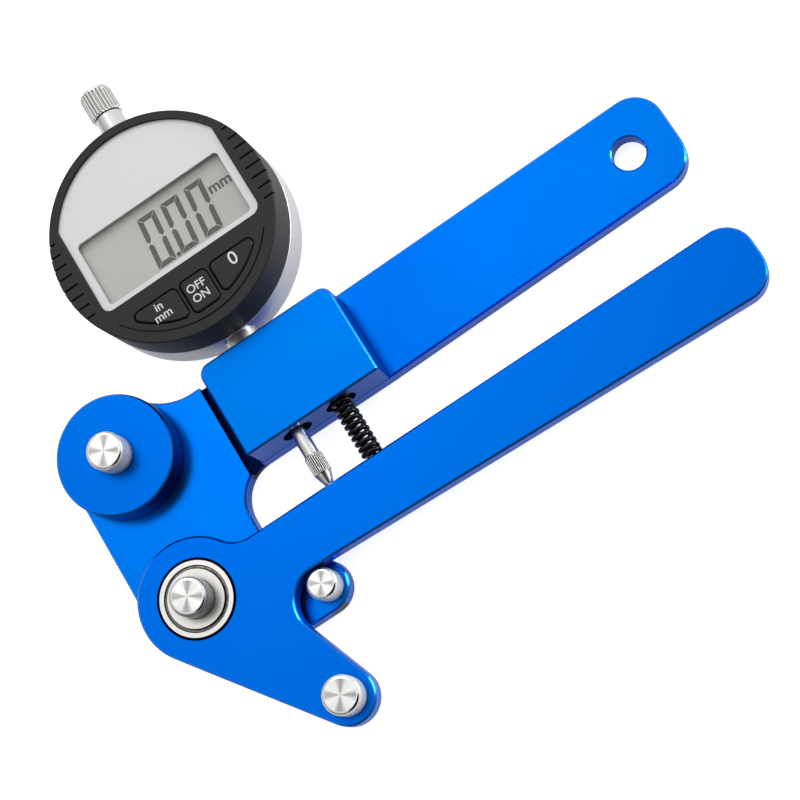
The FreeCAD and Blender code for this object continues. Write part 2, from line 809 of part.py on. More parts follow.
def make_scale_carriage():
    half_h = carriage_h / 2
    body = block(gauge_x - carriage_half_w, gauge_x + carriage_half_w, carriage_y, carriage_y + carriage_len,
                 axis_z - half_h, axis_z + half_h)
    ear = block(gauge_x + carriage_half_w, gauge_x + guide_x + 2 * guide_r, carriage_y, carriage_y + carriage_len,
                axis_z - 2 * guide_r, axis_z + 2 * guide_r)
    bores = joined(rod(spindle_r, carriage_y, carriage_y + carriage_len),
                   rod(guide_r + spindle_fit, carriage_y, carriage_y + carriage_len, gauge_x + guide_x))
    return joined(body, ear).cut(bores)


def make_scale_strip():
    low_z = axis_z + carriage_h / 2
    return block(gauge_x - carriage_half_w, gauge_x + carriage_half_w, carriage_y, carriage_y + carriage_len,
                 low_z, low_z + strip_t)


def make_sensor_board():
    return block(gauge_x - sensor_half_w, gauge_x + sensor_half_w, dial_y - sensor_half_len,
                 dial_y + sensor_half_len, sensor_z, sensor_z + sensor_t)


def make_battery_holder():
    """Cup under the board with a lip that the coin cell lies on."""
    outer_r = battery_r + board_fit + holder_wall
    low_z = board_z - battery_t
    wall = ring(outer_r, battery_r + board_fit, low_z, board_z, gauge_x, dial_y)
    floor = ring(outer_r, battery_r - holder_lip, low_z - holder_floor_t, low_z, gauge_x, dial_y)
    return joined(wall, floor)


def make_ribbon():
    """Flat cable from the sensor board up to the display board."""
    low_z = sensor_z + sensor_t
    x = gauge_x - ribbon_x
    y0 = dial_y - ribbon_half_w
    y1 = dial_y + ribbon_half_w
    return joined(block(x, x + ribbon_t, y0, y1, low_z, board_z),
                  block(x, x + ribbon_pad, y0, y1, low_z, low_z + ribbon_t),
                  block(x, x + ribbon_pad, y0, y1, board_z - ribbon_t, board_z))


def make_guide_rod():
    half = math.sqrt((case_inner_r - swivel_fit) ** 2 - (guide_x + guide_r) ** 2)
    return rod(guide_r, dial_y - half, dial_y + half, gauge_x + guide_x)


def make_sprung_coil():
    """Light coil round the plunger, from the carriage up to the case wall."""
    reach = coil_r + coil_wire_r
    top_y = dial_y + math.sqrt((case_inner_r - swivel_fit) ** 2 - reach ** 2)
    return coil(coil_r, coil_wire_r, coil_pitch, carriage_y + carriage_len, top_y, gauge_x)


# Blue plates and what stands on them
export("fixed_plate", make_fixed_plate())
export("moving_arm", make_moving_arm())
export("gauge_block", make_gauge_block())
export("spacer_disc", make_spacer_disc())
export("pivot_post", make_pivot_post())
export("disc_post", turned_post(post_r, arm_top_z, post_top_z, 0, disc_post_y, post_thread))
export("stop_post", turned_post(stop_post_r, plate_t, plate_t + stop_post_h, stop_post_x, stop_post_y, post_thread))
export("arm_post", turned_post(post_r, arm_top_z, arm_top_z + arm_post_stand, arm_post_x, arm_post_y,
                               arm_post_thread))
export("pivot_spacer", ring(inner_ring_r, bearing_bore_r, plate_t, bearing_top_z - bearing_w))
export("pivot_screw", countersunk_screw(0, plate_t + pivot_thread - thread_gap, 0, 0))
export("disc_screw", countersunk_screw(0, arm_top_z + post_thread - thread_gap, 0, disc_post_y))
export("stop_screw", countersunk_screw(0, plate_t + post_thread - thread_gap, stop_post_x, stop_post_y))
export("arm_post_screw", countersunk_screw(arm_z, arm_top_z + arm_post_thread - thread_gap, arm_post_x, arm_post_y))
export("block_screws", *[countersunk_screw(0, block_screw_top_z, x, y) for x, y in block_screw_spots])
export("stem_clamp_screw", make_clamp_screw())

# Pivot bearing
export("bearing_outer_ring", bearing_ring(bearing_r, outer_ring_r))
export("bearing_inner_ring", bearing_ring(inner_ring_r, bearing_bore_r))
export("bearing_balls", *[Part.makeSphere(ball_r, FreeCAD.Vector(x, y, bearing_z)) for x, y in ball_spots()])
export("bearing_cage", make_ball_cage())
export("bearing_shields", shield(bearing_top_z - shield_recess - shield_t),
       shield(bearing_top_z - bearing_w + shield_recess))

# Return spring between the block and the arm
export("return_spring", coil(spring_r, spring_wire_r, spring_pitch, arm_top_y + spring_end_gap, spring_seat_y,
                             spring_x))
export("spring_pin", rod(spring_pin_r, arm_top_y - spring_pin_depth, arm_top_y + spring_pin_stand, spring_x))

# Indicator: plunger line
export("spindle", rod(spindle_r, spindle_low_y, spindle_high_y))
export("contact_point", make_contact_point())
export("lifting_cap", make_lifting_cap())
export("stem", make_stem())
export("upper_sleeve", make_upper_sleeve())
export("scale_carriage", make_scale_carriage())
export("scale_strip", make_scale_strip())
export("plunger_spring", make_sprung_coil())
export("guide_rod", make_guide_rod())
export("sensor_board", make_sensor_board())
export("ribbon_cable", make_ribbon())

# Indicator: rear housing
export("rear_case", make_rear_case())
export("back_cover", make_back_cover())
export("cover_screws", *[countersunk_screw(dial_back_z, case_low_z + cover_screw_len - thread_gap, x, y,
                                           cover_screw_r, cover_screw_head_r) for x, y in cover_screw_spots()])
export("snap_ring", make_snap_ring())

# Indicator: turning display head
export("front_case", make_front_case())
export("face_plate", make_face_plate())
export("display_window", glass_outline(head_ceiling_z, head_ceiling_z + window_t, glass_step - seam_gap))
export("lcd_panel", make_lcd_panel())
export("lcd_connector", make_lcd_connector())
export("circuit_board", make_circuit_board())
export("key_domes", *make_key_domes())
export("battery_holder", make_battery_holder())
export("battery", drum(battery_r, board_z - battery_t, board_z, gauge_x, dial_y))
export("unit_key", make_key(-1))
export("power_key", make_key(0))
export("zero_key", make_key(1))
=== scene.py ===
import math

import bmesh
import bpy
import numpy as np
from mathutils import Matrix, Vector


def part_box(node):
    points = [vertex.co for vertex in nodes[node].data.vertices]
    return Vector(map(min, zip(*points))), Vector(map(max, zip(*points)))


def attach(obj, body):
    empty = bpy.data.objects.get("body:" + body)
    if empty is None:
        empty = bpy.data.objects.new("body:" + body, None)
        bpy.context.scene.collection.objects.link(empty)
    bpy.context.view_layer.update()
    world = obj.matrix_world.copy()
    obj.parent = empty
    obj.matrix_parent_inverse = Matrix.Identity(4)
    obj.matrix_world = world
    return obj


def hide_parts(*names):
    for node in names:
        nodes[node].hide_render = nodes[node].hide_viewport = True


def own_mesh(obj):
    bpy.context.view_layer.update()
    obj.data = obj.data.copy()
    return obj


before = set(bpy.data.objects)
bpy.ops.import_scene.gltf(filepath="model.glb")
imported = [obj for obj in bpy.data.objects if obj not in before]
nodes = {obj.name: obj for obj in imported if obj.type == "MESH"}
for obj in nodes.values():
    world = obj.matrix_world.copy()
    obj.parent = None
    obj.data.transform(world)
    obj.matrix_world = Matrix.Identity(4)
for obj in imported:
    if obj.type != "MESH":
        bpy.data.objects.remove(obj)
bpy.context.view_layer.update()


# Bench and studio
# The meter lies on a white paper sweep. The studio is brightest high up behind it and to its
# right, with a lamp behind, one at the right and one above; one dark screen stands in front.

def linear(code):
    """sRGB hex to linear light, with full alpha: the sRGB curve, channel by channel."""
    srgb = [int(code[i:i + 2], 16) / 255 for i in (1, 3, 5)]
    return [c / 12.92 if c <= 0.04045 else ((c + 0.055) / 1.055) ** 2.4 for c in srgb] + [1.0]


def per_mm(count):
    """Scale of a pattern with that many grains to a millimetre: coordinates are in metres."""
    return count * 1000.0


def add_node(tree, kind, settings=None, links=None):
    """Adds a node; settings go to its sockets or properties by name, links feed its sockets.

    The setting "stops" gives a colour ramp its places and hex codes, from first to last.
    """
    node = tree.nodes.new(kind)
    for name, value in (settings or {}).items():
        if name == "stops":
            elements = node.color_ramp.elements
            for element, (at, code) in zip(elements, (value[0], value[-1])):
                element.position = at
                element.color = linear(code)
            for at, code in value[1:-1]:
                elements.new(at).color = linear(code)
        elif isinstance(name, int) or name in node.inputs:
            node.inputs[name].default_value = value
        else:
            setattr(node, name, value)
    for name, output in (links or {}).items():
        tree.links.new(output, node.inputs[name])
    return node


def new_material(name):
    """Empty material: returns it with its node tree and its Object coordinates."""
    material = bpy.data.materials.new(name)
    material.use_nodes = True
    tree = material.node_tree
    tree.nodes.clear()
    add_node(tree, "ShaderNodeOutputMaterial")
    return material, tree, add_node(tree, "ShaderNodeTexCoord").outputs["Object"]


def surface_from(tree, shader):
    """Makes a shader the surface of its material."""
    output = next(n for n in tree.nodes if n.type == "OUTPUT_MATERIAL")
    tree.links.new(shader.outputs[0], output.inputs["Surface"])


def new_mesh(name, points, faces, material, sharp_deg=35):
    """Mesh from an array of points and a list of faces, doubles merged, faces turned outward."""
    same_place, no_length = 2e-7, 1e-8
    mesh = bpy.data.meshes.new(name)
    mesh.from_pydata(np.asarray(points, float).reshape(-1, 3), [], faces)
    work = bmesh.new()
    work.from_mesh(mesh)
    bmesh.ops.remove_doubles(work, verts=work.verts, dist=same_place)
    bmesh.ops.dissolve_degenerate(work, edges=work.edges, dist=no_length)
    bmesh.ops.recalc_face_normals(work, faces=work.faces)
    work.to_mesh(mesh)
    work.free()
    mesh.polygons.foreach_set("use_smooth", np.ones(len(mesh.polygons), bool))
    mesh.set_sharp_from_angle(angle=math.radians(sharp_deg))
    mesh.materials.append(material)
    piece = bpy.data.objects.new(name, mesh)
    bpy.context.scene.collection.objects.link(piece)
    return piece


# Matt paper: light and shade without gloss. Real fibre is too fine to show, so it is drawn at
# 1.1 mm. Seen straight, the sheet glows as an overlit background does; it throws back less.
paper, tree, place = new_material("white_paper_sweep")
fibre = add_node(tree, "ShaderNodeTexNoise", {"Scale": per_mm(0.9), "Detail": 3.0}, {"Vector": place})
relief = add_node(tree, "ShaderNodeBump", {"Strength": 0.05, "Distance": 0.0001},
                  {"Height": fibre.outputs["Fac"]})
sheets = []
for code, strength in (("#F0F0F2", 0.14), ("#F4F4F4", 0.78)):
    lit = add_node(tree, "ShaderNodeBsdfDiffuse", {"Color": linear(code)}, {"Normal": relief.outputs[0]})
    through = add_node(tree, "ShaderNodeEmission", {"Color": linear("#FFFFFF"), "Strength": strength})
    sheets.append(add_node(tree, "ShaderNodeAddShader", {}, {0: lit.outputs[0], 1: through.outputs[0]}))
ray = add_node(tree, "ShaderNodeLightPath")
sweep = add_node(tree, "ShaderNodeMixShader", {}, {
    0: ray.outputs["Is Camera Ray"], 1: sheets[0].outputs[0], 2: sheets[1].outputs[0]})
surface_from(tree, sweep)

sweep_half = 6.0
bench_z = -0.0002
corners = np.array([[-1, -1], [1, -1], [1, 1], [-1, 1]]) * sweep_half
bench = new_mesh("bench", np.c_[corners, np.full(4, bench_z)], [[0, 1, 2, 3]], paper)

world = bpy.data.worlds.new("studio")
bpy.context.scene.world = world
world.use_nodes = True
sky = world.node_tree
sky.nodes.clear()
way = add_node(sky, "ShaderNodeTexCoord").outputs["Generated"]
bright_side = (0.35, 0.50, 0.79)
screen_side = (0.220, -0.575, 0.788)
screen_heart, screen_edge = 0.9, 0.855
lean = add_node(sky, "ShaderNodeVectorMath", {"operation": "DOT_PRODUCT", 1: bright_side}, {0: way})
rise = add_node(sky, "ShaderNodeMapRange", {
    "From Min": -0.3, "From Max": 0.85, "To Min": 0.15, "To Max": 0.985}, {"Value": lean.outputs["Value"]})
toward = add_node(sky, "ShaderNodeVectorMath", {"operation": "DOT_PRODUCT", 1: screen_side}, {0: way})
clear = add_node(sky, "ShaderNodeMapRange", {
    "interpolation_type": "SMOOTHSTEP", "From Min": screen_heart, "From Max": screen_edge, "To Min": 0.01},
    {"Value": toward.outputs["Value"]})
level = add_node(sky, "ShaderNodeMath", {"operation": "MULTIPLY"},
                 {0: rise.outputs["Result"], 1: clear.outputs["Result"]})
glow = add_node(sky, "ShaderNodeBackground", {"Color": (1, 1, 1, 1)}, {"Strength": level.outputs[0]})
add_node(sky, "ShaderNodeOutputWorld", {}, {"Surface": glow.outputs[0]})


def softbox(name, spot, width, height, watts):
    """Rectangular lamp at a spot, turned towards the meter at the origin."""
    lamp = bpy.data.lights.new(name, "AREA")
    lamp.shape = "RECTANGLE"
    lamp.size = width
    lamp.size_y = height
    lamp.energy = watts
    holder = bpy.data.objects.new(name, lamp)
    bpy.context.scene.collection.objects.link(holder)
    x, y, z = spot
    holder.location = spot
    holder.rotation_euler = (math.acos(z / math.hypot(x, y, z)), 0, math.atan2(x, -y))


softbox("rear_softbox", (0.1, 1.1, 0.95), width=0.9, height=0.5, watts=4)
softbox("right_strip", (1.34, -0.1, 0.25), width=1.0, height=0.2, watts=8)
softbox("ceiling_softbox", (-0.12, 0.45, 1.1), width=0.4, height=0.4, watts=0.5)

lens = bpy.data.cameras.new("camera")
lens.lens = 99.6
lens.sensor_width = 36.0
lens.clip_start = 0.01
lens.clip_end = 20.0
lens.dof.use_dof = False
camera = bpy.data.objects.new("camera", lens)
camera.location = (0.052381, -0.175263, 0.525644)
camera.rotation_euler = [math.radians(a) for a in (10.3976, 13.7415, -31.5024)]
bpy.context.scene.collection.objects.link(camera)
bpy.context.scene.camera = camera
bpy.context.scene.view_settings.view_transform = "Standard"


# Blue plates, block and disc
# Aluminium plate, milled, finely blasted, and anodised in one bright blue. The edges are broken
# after the blast. The four pieces are screwed together or turn on the bearing.

def finish(names, material):
    """Gives CAD nodes their finish."""
    for name in names:
        slots = nodes[name].material_slots
        for slot in slots:
            slot.material = material
        if not slots:
            nodes[name].data.materials.append(material)


def anodised(name, top, dyes_with_painted_light, wall_shade, reach=0.0042, rough=0.26):
    """Blue anodised aluminium whose upper face lies at the height top.

    To the eye it is a deep blue metal with a soft, satin reflection. The three colours given follow
    one another along x, a painted light that makes the piece lighter and darker along its length,
    and the walls take the wall colour given, a painted shade. The broken edge is smoother, and paler
    as a painted highlight. Corners and feet fall off to navy, a painted shade by ambient occlusion
    over the given reach, sooner on the upper face than on the walls. The blast's grain is 0.11 mm,
    and the blue drifts at random in clouds of 22 mm. Returns the material, its tree, shader and
    last colour node, and the separated coordinates.
    """
    left, right = -0.08, 0.09
    drift_share = 0.2
    edge_z, edge_half = top - 0.00014, 0.00012
    edge_gloss, edge_highlight_share = 0.2, 0.3
    face_z = top - 0.00001
    wall_top = top - 0.0005
    material, tree, place = new_material(name)
    xyz = add_node(tree, "ShaderNodeSeparateXYZ", {}, {0: place})
    drift = add_node(tree, "ShaderNodeTexNoise", {"Scale": per_mm(0.045), "Detail": 2.0}, {"Vector": place})
    # Painted light: the blue grows lighter and darker along x, over the random drift of the blue.
    painted_light_along_x = add_node(tree, "ShaderNodeMapRange", {
        "From Min": left, "From Max": right, "To Min": -0.1, "To Max": 0.9}, {"Value": xyz.outputs["X"]})
    drift_and_painted_light = add_node(tree, "ShaderNodeMath", {"operation": "MULTIPLY_ADD", 1: drift_share},
                    {0: drift.outputs["Fac"], 2: painted_light_along_x.outputs["Result"]})
    dye_with_painted_light = add_node(tree, "ShaderNodeValToRGB", {"stops": tuple(zip((0.0, 0.5, 1.0), dyes_with_painted_light))},
                   {"Fac": drift_and_painted_light.outputs[0]})
    blast = add_node(tree, "ShaderNodeTexNoise", {"Scale": per_mm(9), "Detail": 2.0, "Roughness": 0.6},
                     {"Vector": place})
    satin = add_node(tree, "ShaderNodeMapRange", {"To Min": rough, "To Max": rough + 0.1},
                     {"Value": blast.outputs["Fac"]})
    on_edge = add_node(tree, "ShaderNodeMath", {"operation": "COMPARE", 1: edge_z, 2: edge_half},
                       {0: xyz.outputs["Z"]})
    gloss = add_node(tree, "ShaderNodeMix", {3: edge_gloss},
                     {0: on_edge.outputs[0], 2: satin.outputs["Result"]})
    grain = add_node(tree, "ShaderNodeBump", {"Strength": 0.12, "Distance": 0.00002},
                     {"Height": blast.outputs["Fac"]})
    on_face = add_node(tree, "ShaderNodeMath", {"operation": "GREATER_THAN", 1: face_z},
                       {0: xyz.outputs["Z"]})
    nook = add_node(tree, "ShaderNodeAmbientOcclusion", {"samples": 8, "Distance": reach})
    face_open = add_node(tree, "ShaderNodeMapRange", {"From Min": 0.3, "From Max": 0.7},
                         {"Value": nook.outputs["AO"]})
    wall_open = add_node(tree, "ShaderNodeMapRange", {"From Min": 0.2, "From Max": 0.5},
                         {"Value": nook.outputs["AO"]})
    open_share = add_node(tree, "ShaderNodeMix", {}, {
        0: on_face.outputs[0], 2: wall_open.outputs["Result"], 3: face_open.outputs["Result"]})
    above = add_node(tree, "ShaderNodeMath", {"operation": "GREATER_THAN", 1: wall_top},
                     {0: xyz.outputs["Z"]})
    # Painted shade: the walls below the face take their own darker colour.
    sides = add_node(tree, "ShaderNodeMix", {"data_type": "RGBA", 6: linear(wall_shade)},
                     {0: above.outputs[0], 7: dye_with_painted_light.outputs["Color"]})
    # Painted highlight: the broken edge is paled towards a light cyan.
    thin = add_node(tree, "ShaderNodeMath", {"operation": "MULTIPLY", 1: edge_highlight_share}, {0: on_edge.outputs[0]})
    edge_highlighted = add_node(tree, "ShaderNodeMix", {"data_type": "RGBA", 7: linear("#5AB4FF")},
                     {0: thin.outputs[0], 6: sides.outputs[2]})
    # Painted shade: navy where ambient occlusion finds corners and feet.
    deep = add_node(tree, "ShaderNodeMix", {"data_type": "RGBA", 6: linear("#000C34")},
                    {0: open_share.outputs[0], 7: edge_highlighted.outputs[2]})
    shell = add_node(tree, "ShaderNodeBsdfPrincipled", {"Metallic": 1.0}, {
        "Base Color": deep.outputs[2], "Roughness": gloss.outputs[0], "Normal": grain.outputs[0]})
    surface_from(tree, shell)
    return material, tree, shell, deep, xyz


# The fixed plate; the groove beside the gauge block gets a painted shade up to 0.6 mm below the face.
plate_top = 0.005
groove_x, groove_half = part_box("gauge_block")[0].x - 0.002, 0.0021
groove_brim = plate_top - 0.0006
blue_plate, tree, shell, deep, xyz = anodised(
    "anodised_blue_plate", plate_top, ("#0076E9", "#005AC0", "#0071DE"), "#006CE0", reach=0.0016, rough=0.18)
in_groove = add_node(tree, "ShaderNodeMath", {"operation": "COMPARE", 1: groove_x, 2: groove_half},
                     {0: xyz.outputs["X"]})
below = add_node(tree, "ShaderNodeMath", {"operation": "LESS_THAN", 1: groove_brim}, {0: xyz.outputs["Z"]})
in_cut = add_node(tree, "ShaderNodeMath", {"operation": "MULTIPLY"},
                  {0: in_groove.outputs[0], 1: below.outputs[0]})
shaded = add_node(tree, "ShaderNodeMix", {"data_type": "RGBA", 7: linear("#000A2C")},
                  {0: in_cut.outputs[0], 6: deep.outputs[2]})
tree.links.new(shaded.outputs[2], shell.inputs["Base Color"])
finish(["fixed_plate"], blue_plate)

# The moving arm, with a painted shade on the bevel round the bearing's seat: the distance to the pivot tells
# it.
arm_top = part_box("moving_arm")[1].z
bevel_r, bevel_half = 0.0098, 0.0004
pivot = (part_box("bearing_outer_ring")[0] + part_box("bearing_outer_ring")[1]) / 2
blue_arm, tree, shell, deep, xyz = anodised(
    "anodised_blue_arm", arm_top, ("#006BE0", "#0067D2", "#0064D1"), "#006CE0")
flat = add_node(tree, "ShaderNodeCombineXYZ", {}, {0: xyz.outputs["X"], 1: xyz.outputs["Y"]})
from_pivot = add_node(tree, "ShaderNodeVectorMath", {"operation": "DISTANCE", 1: (pivot.x, pivot.y, 0)},
                      {0: flat.outputs[0]})
on_bevel = add_node(tree, "ShaderNodeMath", {"operation": "COMPARE", 1: bevel_r, 2: bevel_half},
                    {0: from_pivot.outputs["Value"]})
seat_painted_shade = add_node(tree, "ShaderNodeMix", {"data_type": "RGBA", 7: linear("#000A30")},
                     {0: on_bevel.outputs[0], 6: deep.outputs[2]})
tree.links.new(seat_painted_shade.outputs[2], shell.inputs["Base Color"])
finish(["moving_arm"], blue_arm)

block_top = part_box("gauge_block")[1].z
# The disc's walls are painted navy and the block's a darker blue: painted shade.
finish(["spacer_disc"], anodised("anodised_blue_disc", arm_top, ("#0068D6",) * 3, "#001E80")[0])
finish(["gauge_block"], anodised("anodised_blue_block", block_top, ("#006CCF",) * 3, "#0060C8")[0])


# Posts
# Round steel posts, turned and faced on a lathe and screwed on from behind. The facing tool
# leaves fine rings round the middle of the end; four bright fans across it are painted highlights.

def turned_steel(name, post, face_r, rim, foot_reach, shade_tones, axis="Z"):
    """Bright turned steel round the axis of a CAD node.

    Within face_r of the axis it is the faced end: rings as a sine of the distance, gloss
    stretched along the tangent (the axis crossed with the way out), and four pale fans, painted
    highlights, as a cosine of four times the angle, with radial streaks. Real rings are too fine to
    show, so they are drawn 0.18 mm apart. Outside it the top of the rounded rim, three tenths of
    the height given for it, is polished; the side below is duller, with a painted shade: the first
    tone at its foot and the second in the open, by ambient occlusion over foot_reach. What stands
    out beyond the rim is a bright flange, with a painted shade near the post by ambient occlusion.
    The rubbed patches in the gloss are 1.4 mm across.
    """
    ring_pitch = 0.00018
    fans, fan_turn = 4, math.radians(31.5)
    streaks_per_radian, streak_share = 5.0, 0.6
    flange_reach, flange_gap = 0.003, 0.0001
    polished_share = 0.3
    material, tree, place = new_material(name)
    low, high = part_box(post)
    flange_r = face_r + rim + flange_gap
    polish_low = high.z - rim * polished_share
    flat = (1, 1, 0) if axis == "Z" else (1, 0, 1)
    line = (0, 0, 1) if axis == "Z" else (0, 1, 0)
    middle = (low + high) / 2
    offset = add_node(tree, "ShaderNodeVectorMath", {"operation": "SUBTRACT", 1: middle}, {0: place})
    out = add_node(tree, "ShaderNodeVectorMath", {"operation": "MULTIPLY", 1: flat}, {0: offset.outputs[0]})
    round_way = add_node(tree, "ShaderNodeVectorMath", {"operation": "CROSS_PRODUCT", 1: line},
                         {0: out.outputs[0]})
    radius = add_node(tree, "ShaderNodeVectorMath", {"operation": "LENGTH"}, {0: out.outputs[0]})
    pitch = add_node(tree, "ShaderNodeMath", {"operation": "MULTIPLY", 1: 2 * math.pi / ring_pitch},
                     {0: radius.outputs["Value"]})
    rings = add_node(tree, "ShaderNodeMath", {"operation": "SINE"}, {0: pitch.outputs[0]})
    cut = add_node(tree, "ShaderNodeBump", {"Strength": 0.15, "Distance": 0.000004},
                   {"Height": rings.outputs[0]})
    wear = add_node(tree, "ShaderNodeTexNoise", {"Scale": per_mm(0.7), "Detail": 3.0}, {"Vector": place})
    polish = add_node(tree, "ShaderNodeMapRange", {"To Min": 0.22, "To Max": 0.34},
                      {"Value": wear.outputs["Fac"]})
    spoke_way = add_node(tree, "ShaderNodeVectorMath", {"operation": "NORMALIZE"}, {0: out.outputs[0]})
    streaks = add_node(tree, "ShaderNodeTexNoise", {
        "Scale": streaks_per_radian, "Detail": 5.0, "Roughness": 0.6}, {"Vector": spoke_way.outputs[0]})
    way_xyz = add_node(tree, "ShaderNodeSeparateXYZ", {}, {0: out.outputs[0]})
    bearing = add_node(tree, "ShaderNodeMath", {"operation": "ARCTAN2"},
                       {0: way_xyz.outputs["Y"], 1: way_xyz.outputs["X"]})
    fourfold = add_node(tree, "ShaderNodeMath", {"operation": "MULTIPLY_ADD", 1: fans, 2: fans * fan_turn},
                        {0: bearing.outputs[0]})
    wave = add_node(tree, "ShaderNodeMath", {"operation": "COSINE"}, {0: fourfold.outputs[0]})
    # Painted highlight: four pale fans across the faced end, by the angle round the axis.
    painted_fan = add_node(tree, "ShaderNodeMapRange", {"From Min": 1.0, "From Max": -0.4, "To Max": 0.7},
                   {"Value": wave.outputs[0]})
    fan_and_streaks = add_node(tree, "ShaderNodeMath", {"operation": "MULTIPLY_ADD", 1: streak_share},
                     {0: streaks.outputs["Fac"], 2: painted_fan.outputs[0]})
    sheen = add_node(tree, "ShaderNodeValToRGB", {"stops": ((0.2, "#989894"), (0.85, "#F0F0EF"))},
                     {"Fac": fan_and_streaks.outputs[0]})
    faced = add_node(tree, "ShaderNodeBsdfPrincipled", {"Metallic": 1.0, "Anisotropic": 0.6}, {
        "Base Color": sheen.outputs["Color"], "Roughness": polish.outputs["Result"],
        "Normal": cut.outputs[0], "Tangent": round_way.outputs[0]})
    buffed = add_node(tree, "ShaderNodeMapRange", {"To Min": 0.03, "To Max": 0.07},
                      {"Value": wear.outputs["Fac"]})
    polished = add_node(tree, "ShaderNodeBsdfPrincipled", {"Base Color": linear("#EEEEED"), "Metallic": 1.0},
                        {"Roughness": buffed.outputs["Result"]})
    # Painted shade: the side darkens towards its foot by ambient occlusion.
    foot = add_node(tree, "ShaderNodeAmbientOcclusion", {"samples": 8, "Distance": foot_reach})
    foot_shade = add_node(tree, "ShaderNodeValToRGB", {"stops": tuple(zip((0.4, 0.9), shade_tones))},
                         {"Fac": foot.outputs["AO"]})
    side = add_node(tree, "ShaderNodeBsdfPrincipled", {"Metallic": 0.35}, {
        "Base Color": foot_shade.outputs["Color"], "Roughness": polish.outputs["Result"]})
    # Painted shade: the flange darkens near the post by ambient occlusion.
    dull = add_node(tree, "ShaderNodeAmbientOcclusion", {"samples": 8, "Distance": flange_reach})
    flange_shade = add_node(tree, "ShaderNodeValToRGB", {"stops": ((0.3, "#5A5956"), (0.8, "#E6E4E0"))},
                           {"Fac": dull.outputs["AO"]})
    flange = add_node(tree, "ShaderNodeBsdfPrincipled", {"Metallic": 0.9}, {
        "Base Color": flange_shade.outputs["Color"], "Roughness": polish.outputs["Result"],
        "Normal": cut.outputs[0]})
    xyz = add_node(tree, "ShaderNodeSeparateXYZ", {}, {0: place})
    below = add_node(tree, "ShaderNodeMath", {"operation": "LESS_THAN", 1: polish_low}, {0: xyz.outputs["Z"]})
    upper = add_node(tree, "ShaderNodeMixShader", {}, {
        0: below.outputs[0], 1: polished.outputs[0], 2: side.outputs[0]})
    wide = add_node(tree, "ShaderNodeMath", {"operation": "GREATER_THAN", 1: flange_r},
                    {0: radius.outputs["Value"]})
    barrel = add_node(tree, "ShaderNodeMixShader", {}, {
        0: wide.outputs[0], 1: upper.outputs[0], 2: flange.outputs[0]})
    outside = add_node(tree, "ShaderNodeMath", {"operation": "GREATER_THAN", 1: face_r},
                       {0: radius.outputs["Value"]})
    steel = add_node(tree, "ShaderNodeMixShader", {}, {
        0: outside.outputs[0], 1: faced.outputs[0], 2: barrel.outputs[0]})
    surface_from(tree, steel)
    return material


rim = 0.001
pivot_post_r = 0.0049
pale = ("#505052", "#F2F2F0")
# The pivot post's side is painted near black and dark grey: painted shade and a painted dark reflection of
# the seat and shield.
for post, foot_reach, shade_tones in (("pivot_post", 0.006, ("#0A0A0A", "#808080")), ("disc_post", 0.004, pale),
                                ("stop_post", 0.003, pale), ("arm_post", 0.004, pale)):
    low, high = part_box(post)
    post_r = pivot_post_r if post == "pivot_post" else (high.x - low.x) / 2
    finish([post], turned_steel("turned_steel_" + post, post, post_r - rim, rim, foot_reach, shade_tones))

# Spacer and pin show no faced end: a rim deeper than they are leaves them polished all over.
all_rim = 0.02
for node, short, axis in (("pivot_spacer", "spacer", "Z"), ("spring_pin", "pin", "Y")):
    finish([node], turned_steel("turned_steel_" + short, node, face_r=0.0, rim=all_rim, foot_reach=0.002,
                                shade_tones=pale, axis=axis))


# Screws
# Flat-headed socket screws from behind, and the grub screw in the block: hardened steel with a
# thin black oxide.

# Blackened steel: near black with a dim metal gleam, worn brighter in specks of 0.4 mm.
black_oxide, tree, place = new_material("black_oxide_steel")
specks = add_node(tree, "ShaderNodeTexNoise", {"Scale": per_mm(2.5), "Detail": 4.0}, {"Vector": place})
tone = add_node(tree, "ShaderNodeValToRGB", {"stops": ((0.0, "#1C1C1F"), (0.8, "#3A3A3E"))},
                {"Fac": specks.outputs["Fac"]})
pits = add_node(tree, "ShaderNodeBump", {"Strength": 0.2, "Distance": 0.00001},
                {"Height": specks.outputs["Fac"]})
oxide = add_node(tree, "ShaderNodeBsdfPrincipled", {"Metallic": 0.9, "Roughness": 0.38},
                 {"Base Color": tone.outputs["Color"], "Normal": pits.outputs[0]})
surface_from(tree, oxide)
finish(["pivot_screw", "disc_screw", "stop_screw", "arm_post_screw", "block_screws", "stem_clamp_screw"],
       black_oxide)


# Pivot bearing
# A shielded ball bearing pressed into the arm. Its rings and balls are ground and polished; the
# shields are thin pressed steel with a rolled rib, clipped in on both sides.

def lathe(name, profile, centre, material, axis="Z", steps=96, sharp_deg=35):
    """Body of revolution: each profile point (radius, height) is carried round the axis, to
    radius times the cosine and the sine of the angle.

    profile may also be a function of the angles that gives radii and heights as arrays
    [angle, point].
    """
    angle = np.linspace(0, 2 * math.pi, steps, endpoint=False)
    if callable(profile):
        radius, height = profile(angle)
    else:
        radius, height = (np.tile(column, (steps, 1)) for column in np.array(profile, float).T)
    across, along = np.cos(angle)[:, None] * radius, np.sin(angle)[:, None] * radius
    points = np.stack([across, along, height] if axis == "Z" else [across, height, along], axis=2)
    count = points.shape[1]
    i, k = np.meshgrid(np.arange(steps), np.arange(count - 1), indexing="ij")
    j = (i + 1) % steps
    faces = np.stack([i * count + k, i * count + k + 1, j * count + k + 1, j * count + k], axis=2)
    points = points + np.array(centre, float)
    return new_mesh(name, points, faces.reshape(-1, 4).tolist(), material, sharp_deg)


